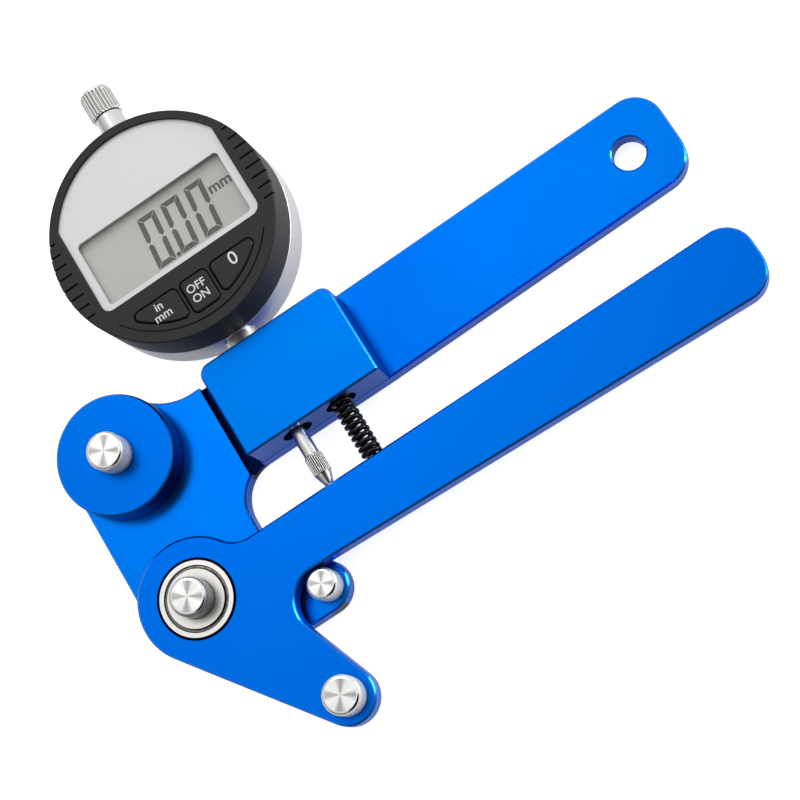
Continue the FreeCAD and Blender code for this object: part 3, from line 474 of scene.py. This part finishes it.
# Ground steel: a clear, slightly warm mirror, clouded by grinding marks 0.7 mm across.
bearing_steel, tree, place = new_material("ground_bearing_steel")
marks = add_node(tree, "ShaderNodeTexNoise", {"Scale": per_mm(1.5), "Detail": 3.0}, {"Vector": place})
polish = add_node(tree, "ShaderNodeMapRange", {"To Min": 0.14, "To Max": 0.24},
                  {"Value": marks.outputs["Fac"]})
scuffs = add_node(tree, "ShaderNodeBump", {"Strength": 0.06, "Distance": 0.00001},
                  {"Height": marks.outputs["Fac"]})
ground = add_node(tree, "ShaderNodeBsdfPrincipled", {"Base Color": linear("#EAE7E6"), "Metallic": 1.0},
                  {"Roughness": polish.outputs["Result"], "Normal": scuffs.outputs[0]})
surface_from(tree, ground)
finish(["bearing_outer_ring", "bearing_inner_ring", "bearing_balls"], bearing_steel)

# Pressed steel under a film of grease: duller and a little yellow. The rolled rib's dark and
# pale rings are painted shade and highlight, so the tone follows the distance to the axis; the
# grease lies in 1.3 mm smears.
low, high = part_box("bearing_shields")
middle = (low + high) / 2
rim_r = (high.x - low.x) / 2
ring_low, ring_high = rim_r - 0.0011, rim_r - 0.0001
smear_share = 0.12
pressed_shield, tree, place = new_material("pressed_shield_steel")
grease = add_node(tree, "ShaderNodeTexNoise", {"Scale": per_mm(0.8), "Detail": 4.0}, {"Vector": place})
axle = add_node(tree, "ShaderNodeVectorMath", {"operation": "SUBTRACT", 1: middle}, {0: place})
flat = add_node(tree, "ShaderNodeVectorMath", {"operation": "MULTIPLY", 1: (1, 1, 0)}, {0: axle.outputs[0]})
radius = add_node(tree, "ShaderNodeVectorMath", {"operation": "LENGTH"}, {0: flat.outputs[0]})
# Painted shade and highlight: the rib's dark and pale rings follow the distance to the axis.
band = add_node(tree, "ShaderNodeMapRange", {"From Min": ring_low, "From Max": ring_high, "To Max": 0.94},
                {"Value": radius.outputs["Value"]})
grease_and_rib_shading = add_node(tree, "ShaderNodeMath", {"operation": "MULTIPLY_ADD", 1: smear_share},
                   {0: grease.outputs["Fac"], 2: band.outputs["Result"]})
tone = add_node(tree, "ShaderNodeValToRGB", {"stops": (
    (0.0, "#8A857B"), (0.1, "#26241F"), (0.24, "#9C978C"), (0.44, "#7A766C"), (0.55, "#4A473F"),
    (0.66, "#A29D92"), (0.86, "#8A857B"), (1.0, "#26241F"))}, {"Fac": grease_and_rib_shading.outputs[0]})
film = add_node(tree, "ShaderNodeBump", {"Strength": 0.1, "Distance": 0.00002},
                {"Height": grease.outputs["Fac"]})
sheet = add_node(tree, "ShaderNodeBsdfPrincipled", {"Metallic": 1.0, "Roughness": 0.33},
                 {"Base Color": tone.outputs["Color"], "Normal": film.outputs[0]})
surface_from(tree, sheet)
finish(["bearing_cage"], pressed_shield)

# The shield's section from its eye outwards: flat, a rib raised by 0.09 mm, a step down to the
# groove in the outer ring that holds it.
eye_r = rim_r - 0.00252
thick = 0.0003
rib = np.array([
    (eye_r, 0), (eye_r, -0.00012), (rim_r - 0.00092, -0.00012), (rim_r - 0.00078, -0.00003),
    (rim_r - 0.00052, -0.00003), (rim_r - 0.00042, -0.0001), (rim_r - 0.0003, -0.0001),
    (rim_r - 0.00018, -0.0002), (rim_r, -0.0002), (rim_r, -thick), (eye_r, -thick), (eye_r, 0)])
for side, z, up in (("front", high.z, 1), ("back", low.z, -1)):
    shield = lathe("bearing_shield_" + side, rib * (1, up), (middle.x, middle.y, z), pressed_shield,
                   steps=128)
    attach(shield, "arm")
    if side == "front":
        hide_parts("bearing_shields")


# Return spring
# Music wire, cold wound with closed ends and blackened. It stands in the block's blind hole
# and over the pin in the arm, and shortens as the handles are squeezed.

def wound_wire(name, radius, wire_r, turns, closed, low, high, centre, material):
    """Tube along a helix about the y direction.

    The wire's middle is radius times the cosine and the sine of the turn angle; it climbs with
    that angle, slowly over the closed turns at each end and evenly between them. The tube's
    rings shrink to points at both ends.
    """
    per_turn, sides = 36, 12
    closed_pace = 0.75
    count = int(turns * per_turn) + 1
    share = np.linspace(0, 1, count)
    pace = np.where((share * turns < closed) | (share * turns > turns - closed), closed_pace, 1.0)
    window = per_turn // 2
    pace = np.convolve(np.pad(pace, window // 2, mode="edge"), np.ones(window) / window, "same")
    pace = pace[window // 2:window // 2 + count]
    climb = np.concatenate([[0], np.cumsum((pace[1:] + pace[:-1]) / 2)])
    climb = low + wire_r + (high - low - 2 * wire_r) * climb / climb[-1]
    angle = share * turns * 2 * math.pi
    outward = np.stack([np.cos(angle), np.zeros(count), np.sin(angle)], axis=1)
    line = outward * radius + np.stack([np.zeros(count), climb, np.zeros(count)], axis=1)
    along = np.gradient(line, axis=0)
    along /= np.linalg.norm(along, axis=1, keepdims=True)
    across = np.cross(along, outward)
    turn = np.linspace(0, 2 * math.pi, sides, endpoint=False)
    size = np.full(count, wire_r)
    size[[0, -1]] = 0
    ring = outward[:, None] * np.cos(turn)[None, :, None] + across[:, None] * np.sin(turn)[None, :, None]
    points = line[:, None] + ring * size[:, None, None] + np.array([centre[0], 0, centre[1]])
    i, k = np.meshgrid(np.arange(count - 1), np.arange(sides), indexing="ij")
    j = (k + 1) % sides
    faces = np.stack([i * sides + k, (i + 1) * sides + k, (i + 1) * sides + j, i * sides + j], axis=2)
    return new_mesh(name, points, faces.reshape(-1, 4).tolist(), material, sharp_deg=60)


# Blackened wire: black and glossy, with a thin pale line along each turn; scale marks of 0.3 mm.
blackened_wire, tree, place = new_material("blackened_spring_wire")
scale_marks = add_node(tree, "ShaderNodeTexNoise", {"Scale": per_mm(3), "Detail": 3.0}, {"Vector": place})
tone = add_node(tree, "ShaderNodeValToRGB", {"stops": ((0.0, "#030303"), (1.0, "#0B0B0C"))},
                {"Fac": scale_marks.outputs["Fac"]})
drawn = add_node(tree, "ShaderNodeBump", {"Strength": 0.15, "Distance": 0.00001},
                 {"Height": scale_marks.outputs["Fac"]})
wire = add_node(tree, "ShaderNodeBsdfPrincipled", {"Roughness": 0.12, "Specular IOR Level": 0.3},
                {"Base Color": tone.outputs["Color"], "Normal": drawn.outputs[0]})
surface_from(tree, wire)

low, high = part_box("return_spring")
middle = (low + high) / 2
wire_r = 0.00063
spring = wound_wire("return_spring_wire", (high.x - low.x) / 2 - wire_r, wire_r, turns=11.5, closed=0.75,
                    low=low.y, high=high.y, centre=(middle.x, middle.z), material=blackened_wire)
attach(spring, "plate")
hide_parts("return_spring")
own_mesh(spring)


# Indicator: stem, sleeve and spindle
# Stainless steel, ground to size and left bright. The stem is clamped in the block, and the
# spindle slides through it and through the sleeve at the top.

# Ground steel: bright, with reflections broken by fine lines round the barrel. They are drawn
# six to a millimetre and 17 mm long, coarser than real ones, so that they show.
along, across = per_mm(6), per_mm(0.06)
ground_barrel, tree, place = new_material("ground_stainless_steel")
run = add_node(tree, "ShaderNodeMapping", {"Scale": (across, along, across)}, {"Vector": place})
lines = add_node(tree, "ShaderNodeTexNoise", {"Scale": 1.0, "Detail": 2.0}, {"Vector": run.outputs[0]})
polish = add_node(tree, "ShaderNodeMapRange", {"To Min": 0.16, "To Max": 0.3},
                  {"Value": lines.outputs["Fac"]})
scratch = add_node(tree, "ShaderNodeBump", {"Strength": 0.08, "Distance": 0.00001},
                   {"Height": lines.outputs["Fac"]})
steel = add_node(tree, "ShaderNodeBsdfPrincipled", {"Base Color": linear("#DEDDDC"), "Metallic": 1.0},
                 {"Roughness": polish.outputs["Result"], "Normal": scratch.outputs[0]})
surface_from(tree, steel)
finish(["stem", "upper_sleeve", "spindle", "guide_rod", "snap_ring", "cover_screws"], ground_barrel)


# Contact point and lifting cap
# Small turned steel parts, nickel plated and screwed on the spindle. Both have straight flutes
# for the fingers; the point tapers to a flat tip, and the cap has a rounded crown.

def plated_knurl(name, node, low_y, high_y, valley_shade_tone):
    """Nickel plate on a piece turned about the y direction: a bright, slightly warm metal with a
    haze of 0.6 mm. Between two heights the flutes' valleys take a painted shade: the tone there
    follows the distance to the axis."""
    material, tree, place = new_material(name)
    low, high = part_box(node)
    body_r = (high.x - low.x) / 2
    flute_lip, flute_floor = body_r - 0.00006, body_r - 0.00016
    haze = add_node(tree, "ShaderNodeTexNoise", {"Scale": per_mm(1.8), "Detail": 3.0}, {"Vector": place})
    tone = add_node(tree, "ShaderNodeValToRGB", {"stops": ((0.0, "#D6D5D3"), (1.0, "#EDECEA"))},
                    {"Fac": haze.outputs["Fac"]})
    marks = add_node(tree, "ShaderNodeBump", {"Strength": 0.08, "Distance": 0.00001},
                     {"Height": haze.outputs["Fac"]})
    middle = (low + high) / 2
    offset = add_node(tree, "ShaderNodeVectorMath", {"operation": "SUBTRACT", 1: middle}, {0: place})
    out = add_node(tree, "ShaderNodeVectorMath", {"operation": "MULTIPLY", 1: (1, 0, 1)},
                   {0: offset.outputs[0]})
    radius = add_node(tree, "ShaderNodeVectorMath", {"operation": "LENGTH"}, {0: out.outputs[0]})
    depth = add_node(tree, "ShaderNodeMapRange", {"From Min": flute_lip, "From Max": flute_floor},
                     {"Value": radius.outputs["Value"]})
    xyz = add_node(tree, "ShaderNodeSeparateXYZ", {}, {0: place})
    in_band = add_node(tree, "ShaderNodeMath", {
        "operation": "COMPARE", 1: (low_y + high_y) / 2, 2: (high_y - low_y) / 2}, {0: xyz.outputs["Y"]})
    # Painted shade: the flutes' valleys take the tone given.
    valley_shade_mask = add_node(tree, "ShaderNodeMath", {"operation": "MULTIPLY"},
                     {0: depth.outputs["Result"], 1: in_band.outputs[0]})
    valley_shaded = add_node(tree, "ShaderNodeMix", {"data_type": "RGBA", 7: linear(valley_shade_tone)},
                     {0: valley_shade_mask.outputs[0], 6: tone.outputs["Color"]})
    nickel = add_node(tree, "ShaderNodeBsdfPrincipled", {"Metallic": 1.0, "Roughness": 0.22},
                      {"Base Color": valley_shaded.outputs[2], "Normal": marks.outputs[0]})
    surface_from(tree, nickel)
    return material


def knurled(profile, low, high, flutes, depth):
    """Profile with straight flutes cut between two heights.

    The radius dips by depth times 1.5 times the cube of the cosine of half the angle times the
    flutes, capped at depth, and fades in and out over a short run-out.
    """
    radius, height = profile.T
    run_out = 0.00025

    def shape(angle):
        """Radii and heights at those angles."""
        cut = depth * np.clip(1.5 * np.abs(np.cos(angle * flutes / 2)) ** 3, 0, 1)
        fade = np.clip((height - low) / run_out, 0, 1) * np.clip((high - height) / run_out, 0, 1)
        return np.clip(radius - cut[:, None] * fade, 0, None), np.tile(height, (len(angle), 1))
    return shape


def stations(corners, step):
    """Profile through the corners with extra points along its runs, none further apart than
    step, each run divided evenly."""
    runs = [np.linspace(a, b, max(1, math.ceil(math.dist(a, b) / step)) + 1)[1:]
            for a, b in zip(corners, corners[1:])]
    return np.vstack([corners[:1]] + runs)


flutes = 26
edge = 0.0003
low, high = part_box("contact_point")
middle = (low + high) / 2
body_r = (high.x - low.x) / 2
tip_r = 0.0012
land_r, land = 0.0009, 0.0003
lip = 0.0001
neck = low.y + 0.0035
flute_top = high.y - 0.0004
corners = [(0, low.y), (land_r, low.y), (land_r, low.y + land), (tip_r, low.y + land + lip),
           (body_r - lip, neck - lip), (body_r, neck), (body_r, high.y - edge),
           (body_r - edge, high.y), (0, high.y)]
# The point's flutes take a dark painted shade.
nickel_point = plated_knurl("nickel_plated_point", "contact_point", neck, flute_top, "#343432")
tip = lathe("contact_tip", knurled(stations(corners, step=0.00025), neck, flute_top, flutes, depth=0.00022),
            (middle.x, 0, middle.z), nickel_point, "Y", steps=flutes * 10, sharp_deg=50)
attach(tip, "plunger")
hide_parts("contact_point")

low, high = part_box("lifting_cap")
middle = (low + high) / 2
cap_r = (high.x - low.x) / 2
crown = 0.0011
dish, dish_r, dish_rim = 0.0002, cap_r * 0.4, cap_r * 0.45
arc = np.linspace(0, math.pi / 2, 9)[1:]
corners = [(0, low.y), (cap_r - edge, low.y), (cap_r, low.y + edge), (cap_r, high.y - crown)]
corners += zip(cap_r - crown + crown * np.cos(arc), high.y - crown + crown * np.sin(arc))
corners += [(dish_rim, high.y), (dish_r, high.y - dish), (0, high.y - dish)]
# The cap's flutes take a light grey painted shade.
nickel_cap = plated_knurl("nickel_plated_cap", "lifting_cap", low.y + edge, high.y - crown, "#A6A6A4")
cap = lathe("cap_grip", knurled(stations(corners, step=0.0003), low.y, high.y - crown, flutes, depth=0.0003),
            (middle.x, 0, middle.z), nickel_cap, "Y", steps=flutes * 12, sharp_deg=50)
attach(cap, "plunger")
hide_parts("lifting_cap")


# Rear case and back cover
# Zinc die casting, turned on the outside and plated matt. The cover is screwed on from behind,
# and the turning display head is held on it by the snap ring.

# Plated zinc: a grey metal with a soft gloss, drawn out by tool lines round it, five to a
# millimetre and 25 mm long, and a painted highlight: a bright line along the seam under the display head.
along, across = per_mm(5), per_mm(0.04)
seam_z, seam_half = 0.01508, 0.00017
turned_zinc, tree, place = new_material("turned_zinc_casting")
run = add_node(tree, "ShaderNodeMapping", {"Scale": (across, across, along)}, {"Vector": place})
lines = add_node(tree, "ShaderNodeTexNoise", {"Scale": 1.0, "Detail": 3.0}, {"Vector": run.outputs[0]})
polish = add_node(tree, "ShaderNodeMapRange", {"To Min": 0.24, "To Max": 0.32},
                  {"Value": lines.outputs["Fac"]})
tool_marks = add_node(tree, "ShaderNodeBump", {"Strength": 0.02, "Distance": 0.00001},
                      {"Height": lines.outputs["Fac"]})
zinc = add_node(tree, "ShaderNodeBsdfPrincipled", {"Base Color": linear("#E6E6E9"), "Metallic": 0.95},
                {"Roughness": polish.outputs["Result"], "Normal": tool_marks.outputs[0]})
# Painted highlight: a bright, paler band along the seam.
seam_highlight = add_node(tree, "ShaderNodeBsdfPrincipled", {
    "Base Color": linear("#F4F4F4"), "Roughness": 0.3, "Metallic": 0.4})
xyz = add_node(tree, "ShaderNodeSeparateXYZ", {}, {0: place})
on_seam = add_node(tree, "ShaderNodeMath", {"operation": "COMPARE", 1: seam_z, 2: seam_half},
                   {0: xyz.outputs["Z"]})
case = add_node(tree, "ShaderNodeMixShader", {}, {
    0: on_seam.outputs[0], 1: zinc.outputs[0], 2: seam_highlight.outputs[0]})
surface_from(tree, case)
finish(["rear_case", "back_cover"], turned_zinc)


# Inside of the indicator
# Boards of green glass-fibre laminate, a black plastic carriage on the spindle, a coin cell in
# its cup, and an amber film cable up to the display. None of it shows while the case is shut.

# Laminate: green and glossy under its mask, with the weave of the glass 0.8 mm across.
laminate, tree, place = new_material("green_glass_fibre_laminate")
weave = add_node(tree, "ShaderNodeTexVoronoi", {"Scale": per_mm(1.2)}, {"Vector": place})
mask = add_node(tree, "ShaderNodeValToRGB", {"stops": ((0.0, "#1E5A38"), (1.0, "#2F7A4C"))},
                {"Fac": weave.outputs["Distance"]})
bumps = add_node(tree, "ShaderNodeBump", {"Strength": 0.1, "Distance": 0.00002},
                 {"Height": weave.outputs["Distance"]})
board = add_node(tree, "ShaderNodeBsdfPrincipled", {"Roughness": 0.4, "Coat Weight": 0.4},
                 {"Base Color": mask.outputs["Color"], "Normal": bumps.outputs[0]})
surface_from(tree, board)
finish(["scale_strip", "sensor_board", "circuit_board"], laminate)

# Nickel on the cell and the domes: bright, with its gloss broken in patches of 0.5 mm.
cell_plating, tree, place = new_material("nickel_plated_cell")
brushed = add_node(tree, "ShaderNodeTexNoise", {"Scale": per_mm(2.2), "Detail": 3.0}, {"Vector": place})
polish = add_node(tree, "ShaderNodeMapRange", {"To Min": 0.2, "To Max": 0.4},
                  {"Value": brushed.outputs["Fac"]})
cell = add_node(tree, "ShaderNodeBsdfPrincipled", {"Base Color": linear("#CFCFCE"), "Metallic": 1.0},
                {"Roughness": polish.outputs["Result"]})
surface_from(tree, cell)
finish(["battery", "key_domes"], cell_plating)

# Amber film, satin, with brighter copper tracks under it, and dull grey rubber with black stripes.
# A band pattern repeats 3.18 times for each count of its scale, so the tracks are 1.05 mm apart
# and the stripes 0.52 mm.
for name, low_code, high_code, bands, way, rough, node in (
        ("amber_film_cable", "#8E5A1E", "#C98B3C", 0.3, "Y", 0.3, "ribbon_cable"),
        ("striped_silicone_rubber", "#303032", "#A8A8AA", 0.6, "X", 0.7, "lcd_connector")):
    banded, tree, place = new_material(name)
    stripes = add_node(tree, "ShaderNodeTexWave", {"Scale": per_mm(bands), "bands_direction": way},
                       {"Vector": place})
    tone = add_node(tree, "ShaderNodeValToRGB", {"stops": ((0.0, low_code), (1.0, high_code))},
                    {"Fac": stripes.outputs["Fac"]})
    strip = add_node(tree, "ShaderNodeBsdfPrincipled", {"Roughness": rough},
                     {"Base Color": tone.outputs["Color"]})
    surface_from(tree, strip)
    finish([node], banded)

low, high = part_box("plunger_spring")
middle = (low + high) / 2
wire_r = 0.0003
coil = wound_wire("plunger_spring_wire", (high.x - low.x) / 2 - wire_r, wire_r, turns=6, closed=1.0,
                  low=low.y, high=high.y, centre=(middle.x, middle.z), material=ground_barrel)
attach(coil, "plate")
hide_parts("plunger_spring")
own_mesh(coil)


# Front case and keys
# Moulded in black-grey ABS. The case turns on the rear one, and the keys of the same plastic
# stand each in its own window, over the domes of the circuit board.

# Spark-eroded ABS: charcoal with a dull, even sheen from its grain, which is drawn at 0.17 mm
# because the real one is too fine to show.
moulded_abs, tree, place = new_material("charcoal_moulded_abs")
spark = add_node(tree, "ShaderNodeTexNoise", {"Scale": per_mm(6), "Detail": 3.0}, {"Vector": place})
tone = add_node(tree, "ShaderNodeValToRGB", {"stops": ((0.3, "#1C1C1D"), (0.7, "#232324"))},
                {"Fac": spark.outputs["Fac"]})
grain = add_node(tree, "ShaderNodeBump", {"Strength": 0.12, "Distance": 0.00002},
                 {"Height": spark.outputs["Fac"]})
satin = add_node(tree, "ShaderNodeMapRange", {"To Min": 0.42, "To Max": 0.55},
                 {"Value": spark.outputs["Fac"]})
plastic = add_node(tree, "ShaderNodeBsdfPrincipled", {"Specular IOR Level": 0.3}, {
    "Base Color": tone.outputs["Color"], "Roughness": satin.outputs["Result"], "Normal": grain.outputs[0]})
surface_from(tree, plastic)
finish(["front_case", "unit_key", "power_key", "zero_key", "battery_holder", "scale_carriage"], moulded_abs)


# Key legends
# The units, on and off, and a plain nought, pad-printed on the keys: a soft pad lifts the white
# ink from an etched plate and lays it down about 0.01 mm thick.

# Pad ink: matt white, thin enough to look uneven in patches of 0.2 mm.
white_ink, tree, place = new_material("white_pad_ink")
patchy = add_node(tree, "ShaderNodeTexNoise", {"Scale": per_mm(5), "Detail": 2.0}, {"Vector": place})
tone = add_node(tree, "ShaderNodeValToRGB", {"stops": ((0.0, "#C8C8C8"), (0.6, "#ECECEC"))},
                {"Fac": patchy.outputs["Fac"]})
ink = add_node(tree, "ShaderNodeBsdfPrincipled", {"Roughness": 0.5}, {"Base Color": tone.outputs["Color"]})
surface_from(tree, ink)


def lettering(name, words, size, centre, material, bold, lines=1.0):
    """Printed words as a thin mesh that lies flat, with the middle of its box at the centre."""
    text = bpy.data.curves.new(name, "FONT")
    text.body = words
    text.size = size
    text.extrude = 0.000006
    text.align_x = "CENTER"
    text.align_y = "CENTER"
    text.offset = bold
    text.space_line = lines
    text.resolution_u = 6
    holder = bpy.data.objects.new(name + "_curve", text)
    bpy.context.scene.collection.objects.link(holder)
    bpy.context.view_layer.update()
    mesh = bpy.data.meshes.new_from_object(holder)
    bpy.data.objects.remove(holder)
    points = np.empty(len(mesh.vertices) * 3)
    mesh.vertices.foreach_get("co", points)
    points = points.reshape(-1, 3)
    points += np.array(centre, float) - (points.min(0) + points.max(0)) / 2
    mesh.vertices.foreach_set("co", points.ravel())
    mesh.update()
    mesh.materials.clear()
    mesh.materials.append(material)
    piece = bpy.data.objects.new(name, mesh)
    bpy.context.scene.collection.objects.link(piece)
    return piece


# Each legend's height, line spacing and shift from the middle of its key.
ink_rise = 0.000002
for key, body, words, size, lines, shift_x, shift_y in (
        ("unit_key", "unit_button", "in\nmm", 0.0032, 0.8, 0.0004, 0.0009),
        ("power_key", "power_button", "OFF\nON", 0.0030, 0.95, -0.0002, 0.0002),
        ("zero_key", "zero_button", "0", 0.0048, 0.95, -0.0001, 0.0019)):
    low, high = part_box(key)
    centre = ((low.x + high.x) / 2 + shift_x, (low.y + high.y) / 2 + shift_y, high.z + ink_rise)
    legend = lettering(key + "_legend", words, size, centre, white_ink, bold=0.00003, lines=lines)
    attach(legend, body)


# Face plate
# Thin aluminium plate with a silver-white lacquer, stamped in the shape of a D and glued into
# the bezel's recess, round the display's window.

# Silver lacquer: pale and half metallic, with a soft shimmer from its flakes. They are drawn at
# 0.14 mm because real ones are too fine to show.
silver_face, tree, place = new_material("silver_lacquered_plate")
flake = add_node(tree, "ShaderNodeTexNoise", {"Scale": per_mm(7), "Detail": 2.0}, {"Vector": place})
tone = add_node(tree, "ShaderNodeValToRGB", {"stops": ((0.3, "#D2D2D3"), (0.7, "#DCDCDD"))},
                {"Fac": flake.outputs["Fac"]})
shimmer = add_node(tree, "ShaderNodeBump", {"Strength": 0.08, "Distance": 0.00001},
                   {"Height": flake.outputs["Fac"]})
lacquer = add_node(tree, "ShaderNodeBsdfPrincipled", {"Metallic": 0.35, "Roughness": 0.42},
                   {"Base Color": tone.outputs["Color"], "Normal": shimmer.outputs[0]})
surface_from(tree, lacquer)
finish(["face_plate"], silver_face)


# Display
# A reflective liquid crystal panel under a clear moulded window. Its dark segments stand a hair
# above the grey-green backing and show noughts and the unit.

# Panel and segments behind the window: an even tone with a weak gloss, faintly clouded. The
# clouds are 17 mm wide on the backing and 1.1 mm in the segments.
liquid_crystal = {}
for name, clouds, detail, low_code, high_code, rough in (
        ("liquid_crystal_backing", 0.06, 1.0, "#BCBDB6", "#CACBC4", 0.35),
        ("liquid_crystal_segment", 0.9, 2.0, "#24251F", "#30312B", 0.4)):
    liquid_crystal[name], tree, place = new_material(name)
    cloud = add_node(tree, "ShaderNodeTexNoise", {"Scale": per_mm(clouds), "Detail": detail},
                     {"Vector": place})
    tone = add_node(tree, "ShaderNodeValToRGB", {"stops": ((0.0, low_code), (1.0, high_code))},
                    {"Fac": cloud.outputs["Fac"]})
    panel = add_node(tree, "ShaderNodeBsdfPrincipled", {"Roughness": rough, "Specular IOR Level": 0.3},
                     {"Base Color": tone.outputs["Color"]})
    surface_from(tree, panel)
lcd_ink = liquid_crystal["liquid_crystal_segment"]
finish(["lcd_panel"], liquid_crystal["liquid_crystal_backing"])

# Clear acrylic: all but invisible, with a hard gloss dulled in smears of 7 mm.
clear_window, tree, place = new_material("clear_acrylic_window")
smear = add_node(tree, "ShaderNodeTexNoise", {"Scale": per_mm(0.15), "Detail": 2.0}, {"Vector": place})
polish = add_node(tree, "ShaderNodeMapRange", {"To Min": 0.03, "To Max": 0.08},
                  {"Value": smear.outputs["Fac"]})
acrylic = add_node(tree, "ShaderNodeBsdfPrincipled", {
    "Base Color": linear("#F2F4F2"), "Alpha": 0.06, "IOR": 1.49}, {"Roughness": polish.outputs["Result"]})
surface_from(tree, acrylic)
finish(["display_window"], clear_window)

low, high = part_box("front_case")
dial = (low + high) / 2
lcd_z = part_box("lcd_panel")[1].z
digit_low = -0.0084
digit_high = 0.0058
digit_w = 0.0052
digit_x = (-0.0056, 0.0013, 0.0084)
stroke = 0.00138
slit = 0.00012
slant = math.tan(math.radians(5.4))
dot = 0.0011
dot_x = digit_x[0] + digit_w + 0.0004
unit_x, unit_y, unit_size = 0.0175, 0.0013, 0.0042
ink_low, ink_middle, ink_high = lcd_z + 0.00002, lcd_z + 0.00005, lcd_z + 0.00006


def segment_outlines():
    """Outlines of the six lit segments of a nought, upright, from its lower left corner.

    The segment at the foot is a trapezium; the left one above it is cut at 45 degrees below
    and pointed at half height. The other four are these two mirrored in the digit's middle.
    """
    w, h = digit_w, digit_high - digit_low
    half = h / 2
    foot = np.array([(slit, 0), (w - slit, 0), (w - stroke - slit, stroke), (stroke + slit, stroke)])
    left = np.array([(0, slit), (stroke, stroke + slit), (stroke, half - stroke * 0.75),
                     (stroke / 2, half - slit), (0, half - stroke * 0.5)])
    top = foot * (1, -1) + (0, h)
    left_top = left * (1, -1) + (0, h)
    right = left * (-1, 1) + (w, 0)
    right_top = left * (-1, -1) + (w, h)
    return [foot, left, top[::-1], left_top[::-1], right[::-1], right_top]


def thin_plates(name, outlines, low_z, high_z, material):
    """Flat plates in one mesh. Each closed outline of (x, y) leans, x growing by the slant times
    y, and is carried from low_z up to high_z, with straight walls and closed ends."""
    points, faces, first = [], [], 0
    for outline in outlines:
        ring = np.array(outline, float)
        ring[:, 0] += ring[:, 1] * slant
        ring += (dial.x, dial.y)
        count = len(ring)
        points += [np.c_[ring, np.full(count, z)] for z in (low_z, high_z)]
        foot = first + np.arange(count)
        head = foot + count
        faces += [foot[::-1].tolist(), head.tolist()]
        faces += np.stack([foot, np.roll(foot, -1), np.roll(head, -1), head], axis=1).tolist()
        first += 2 * count
    return new_mesh(name, np.vstack(points), faces, material, sharp_deg=20)


outlines = [shape + (x, digit_low) for x in digit_x for shape in segment_outlines()]
outlines.append([(dot_x, digit_low), (dot_x + dot, digit_low), (dot_x + dot, digit_low + dot),
                 (dot_x, digit_low + dot)])
digits = thin_plates("display_digits", outlines, ink_low, ink_high, lcd_ink)
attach(digits, "display_head")
unit_place = (dial.x + unit_x, dial.y + unit_y, ink_middle)
unit = lettering("display_unit", "mm", unit_size, unit_place, lcd_ink, bold=0.00009)
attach(unit, "display_head")
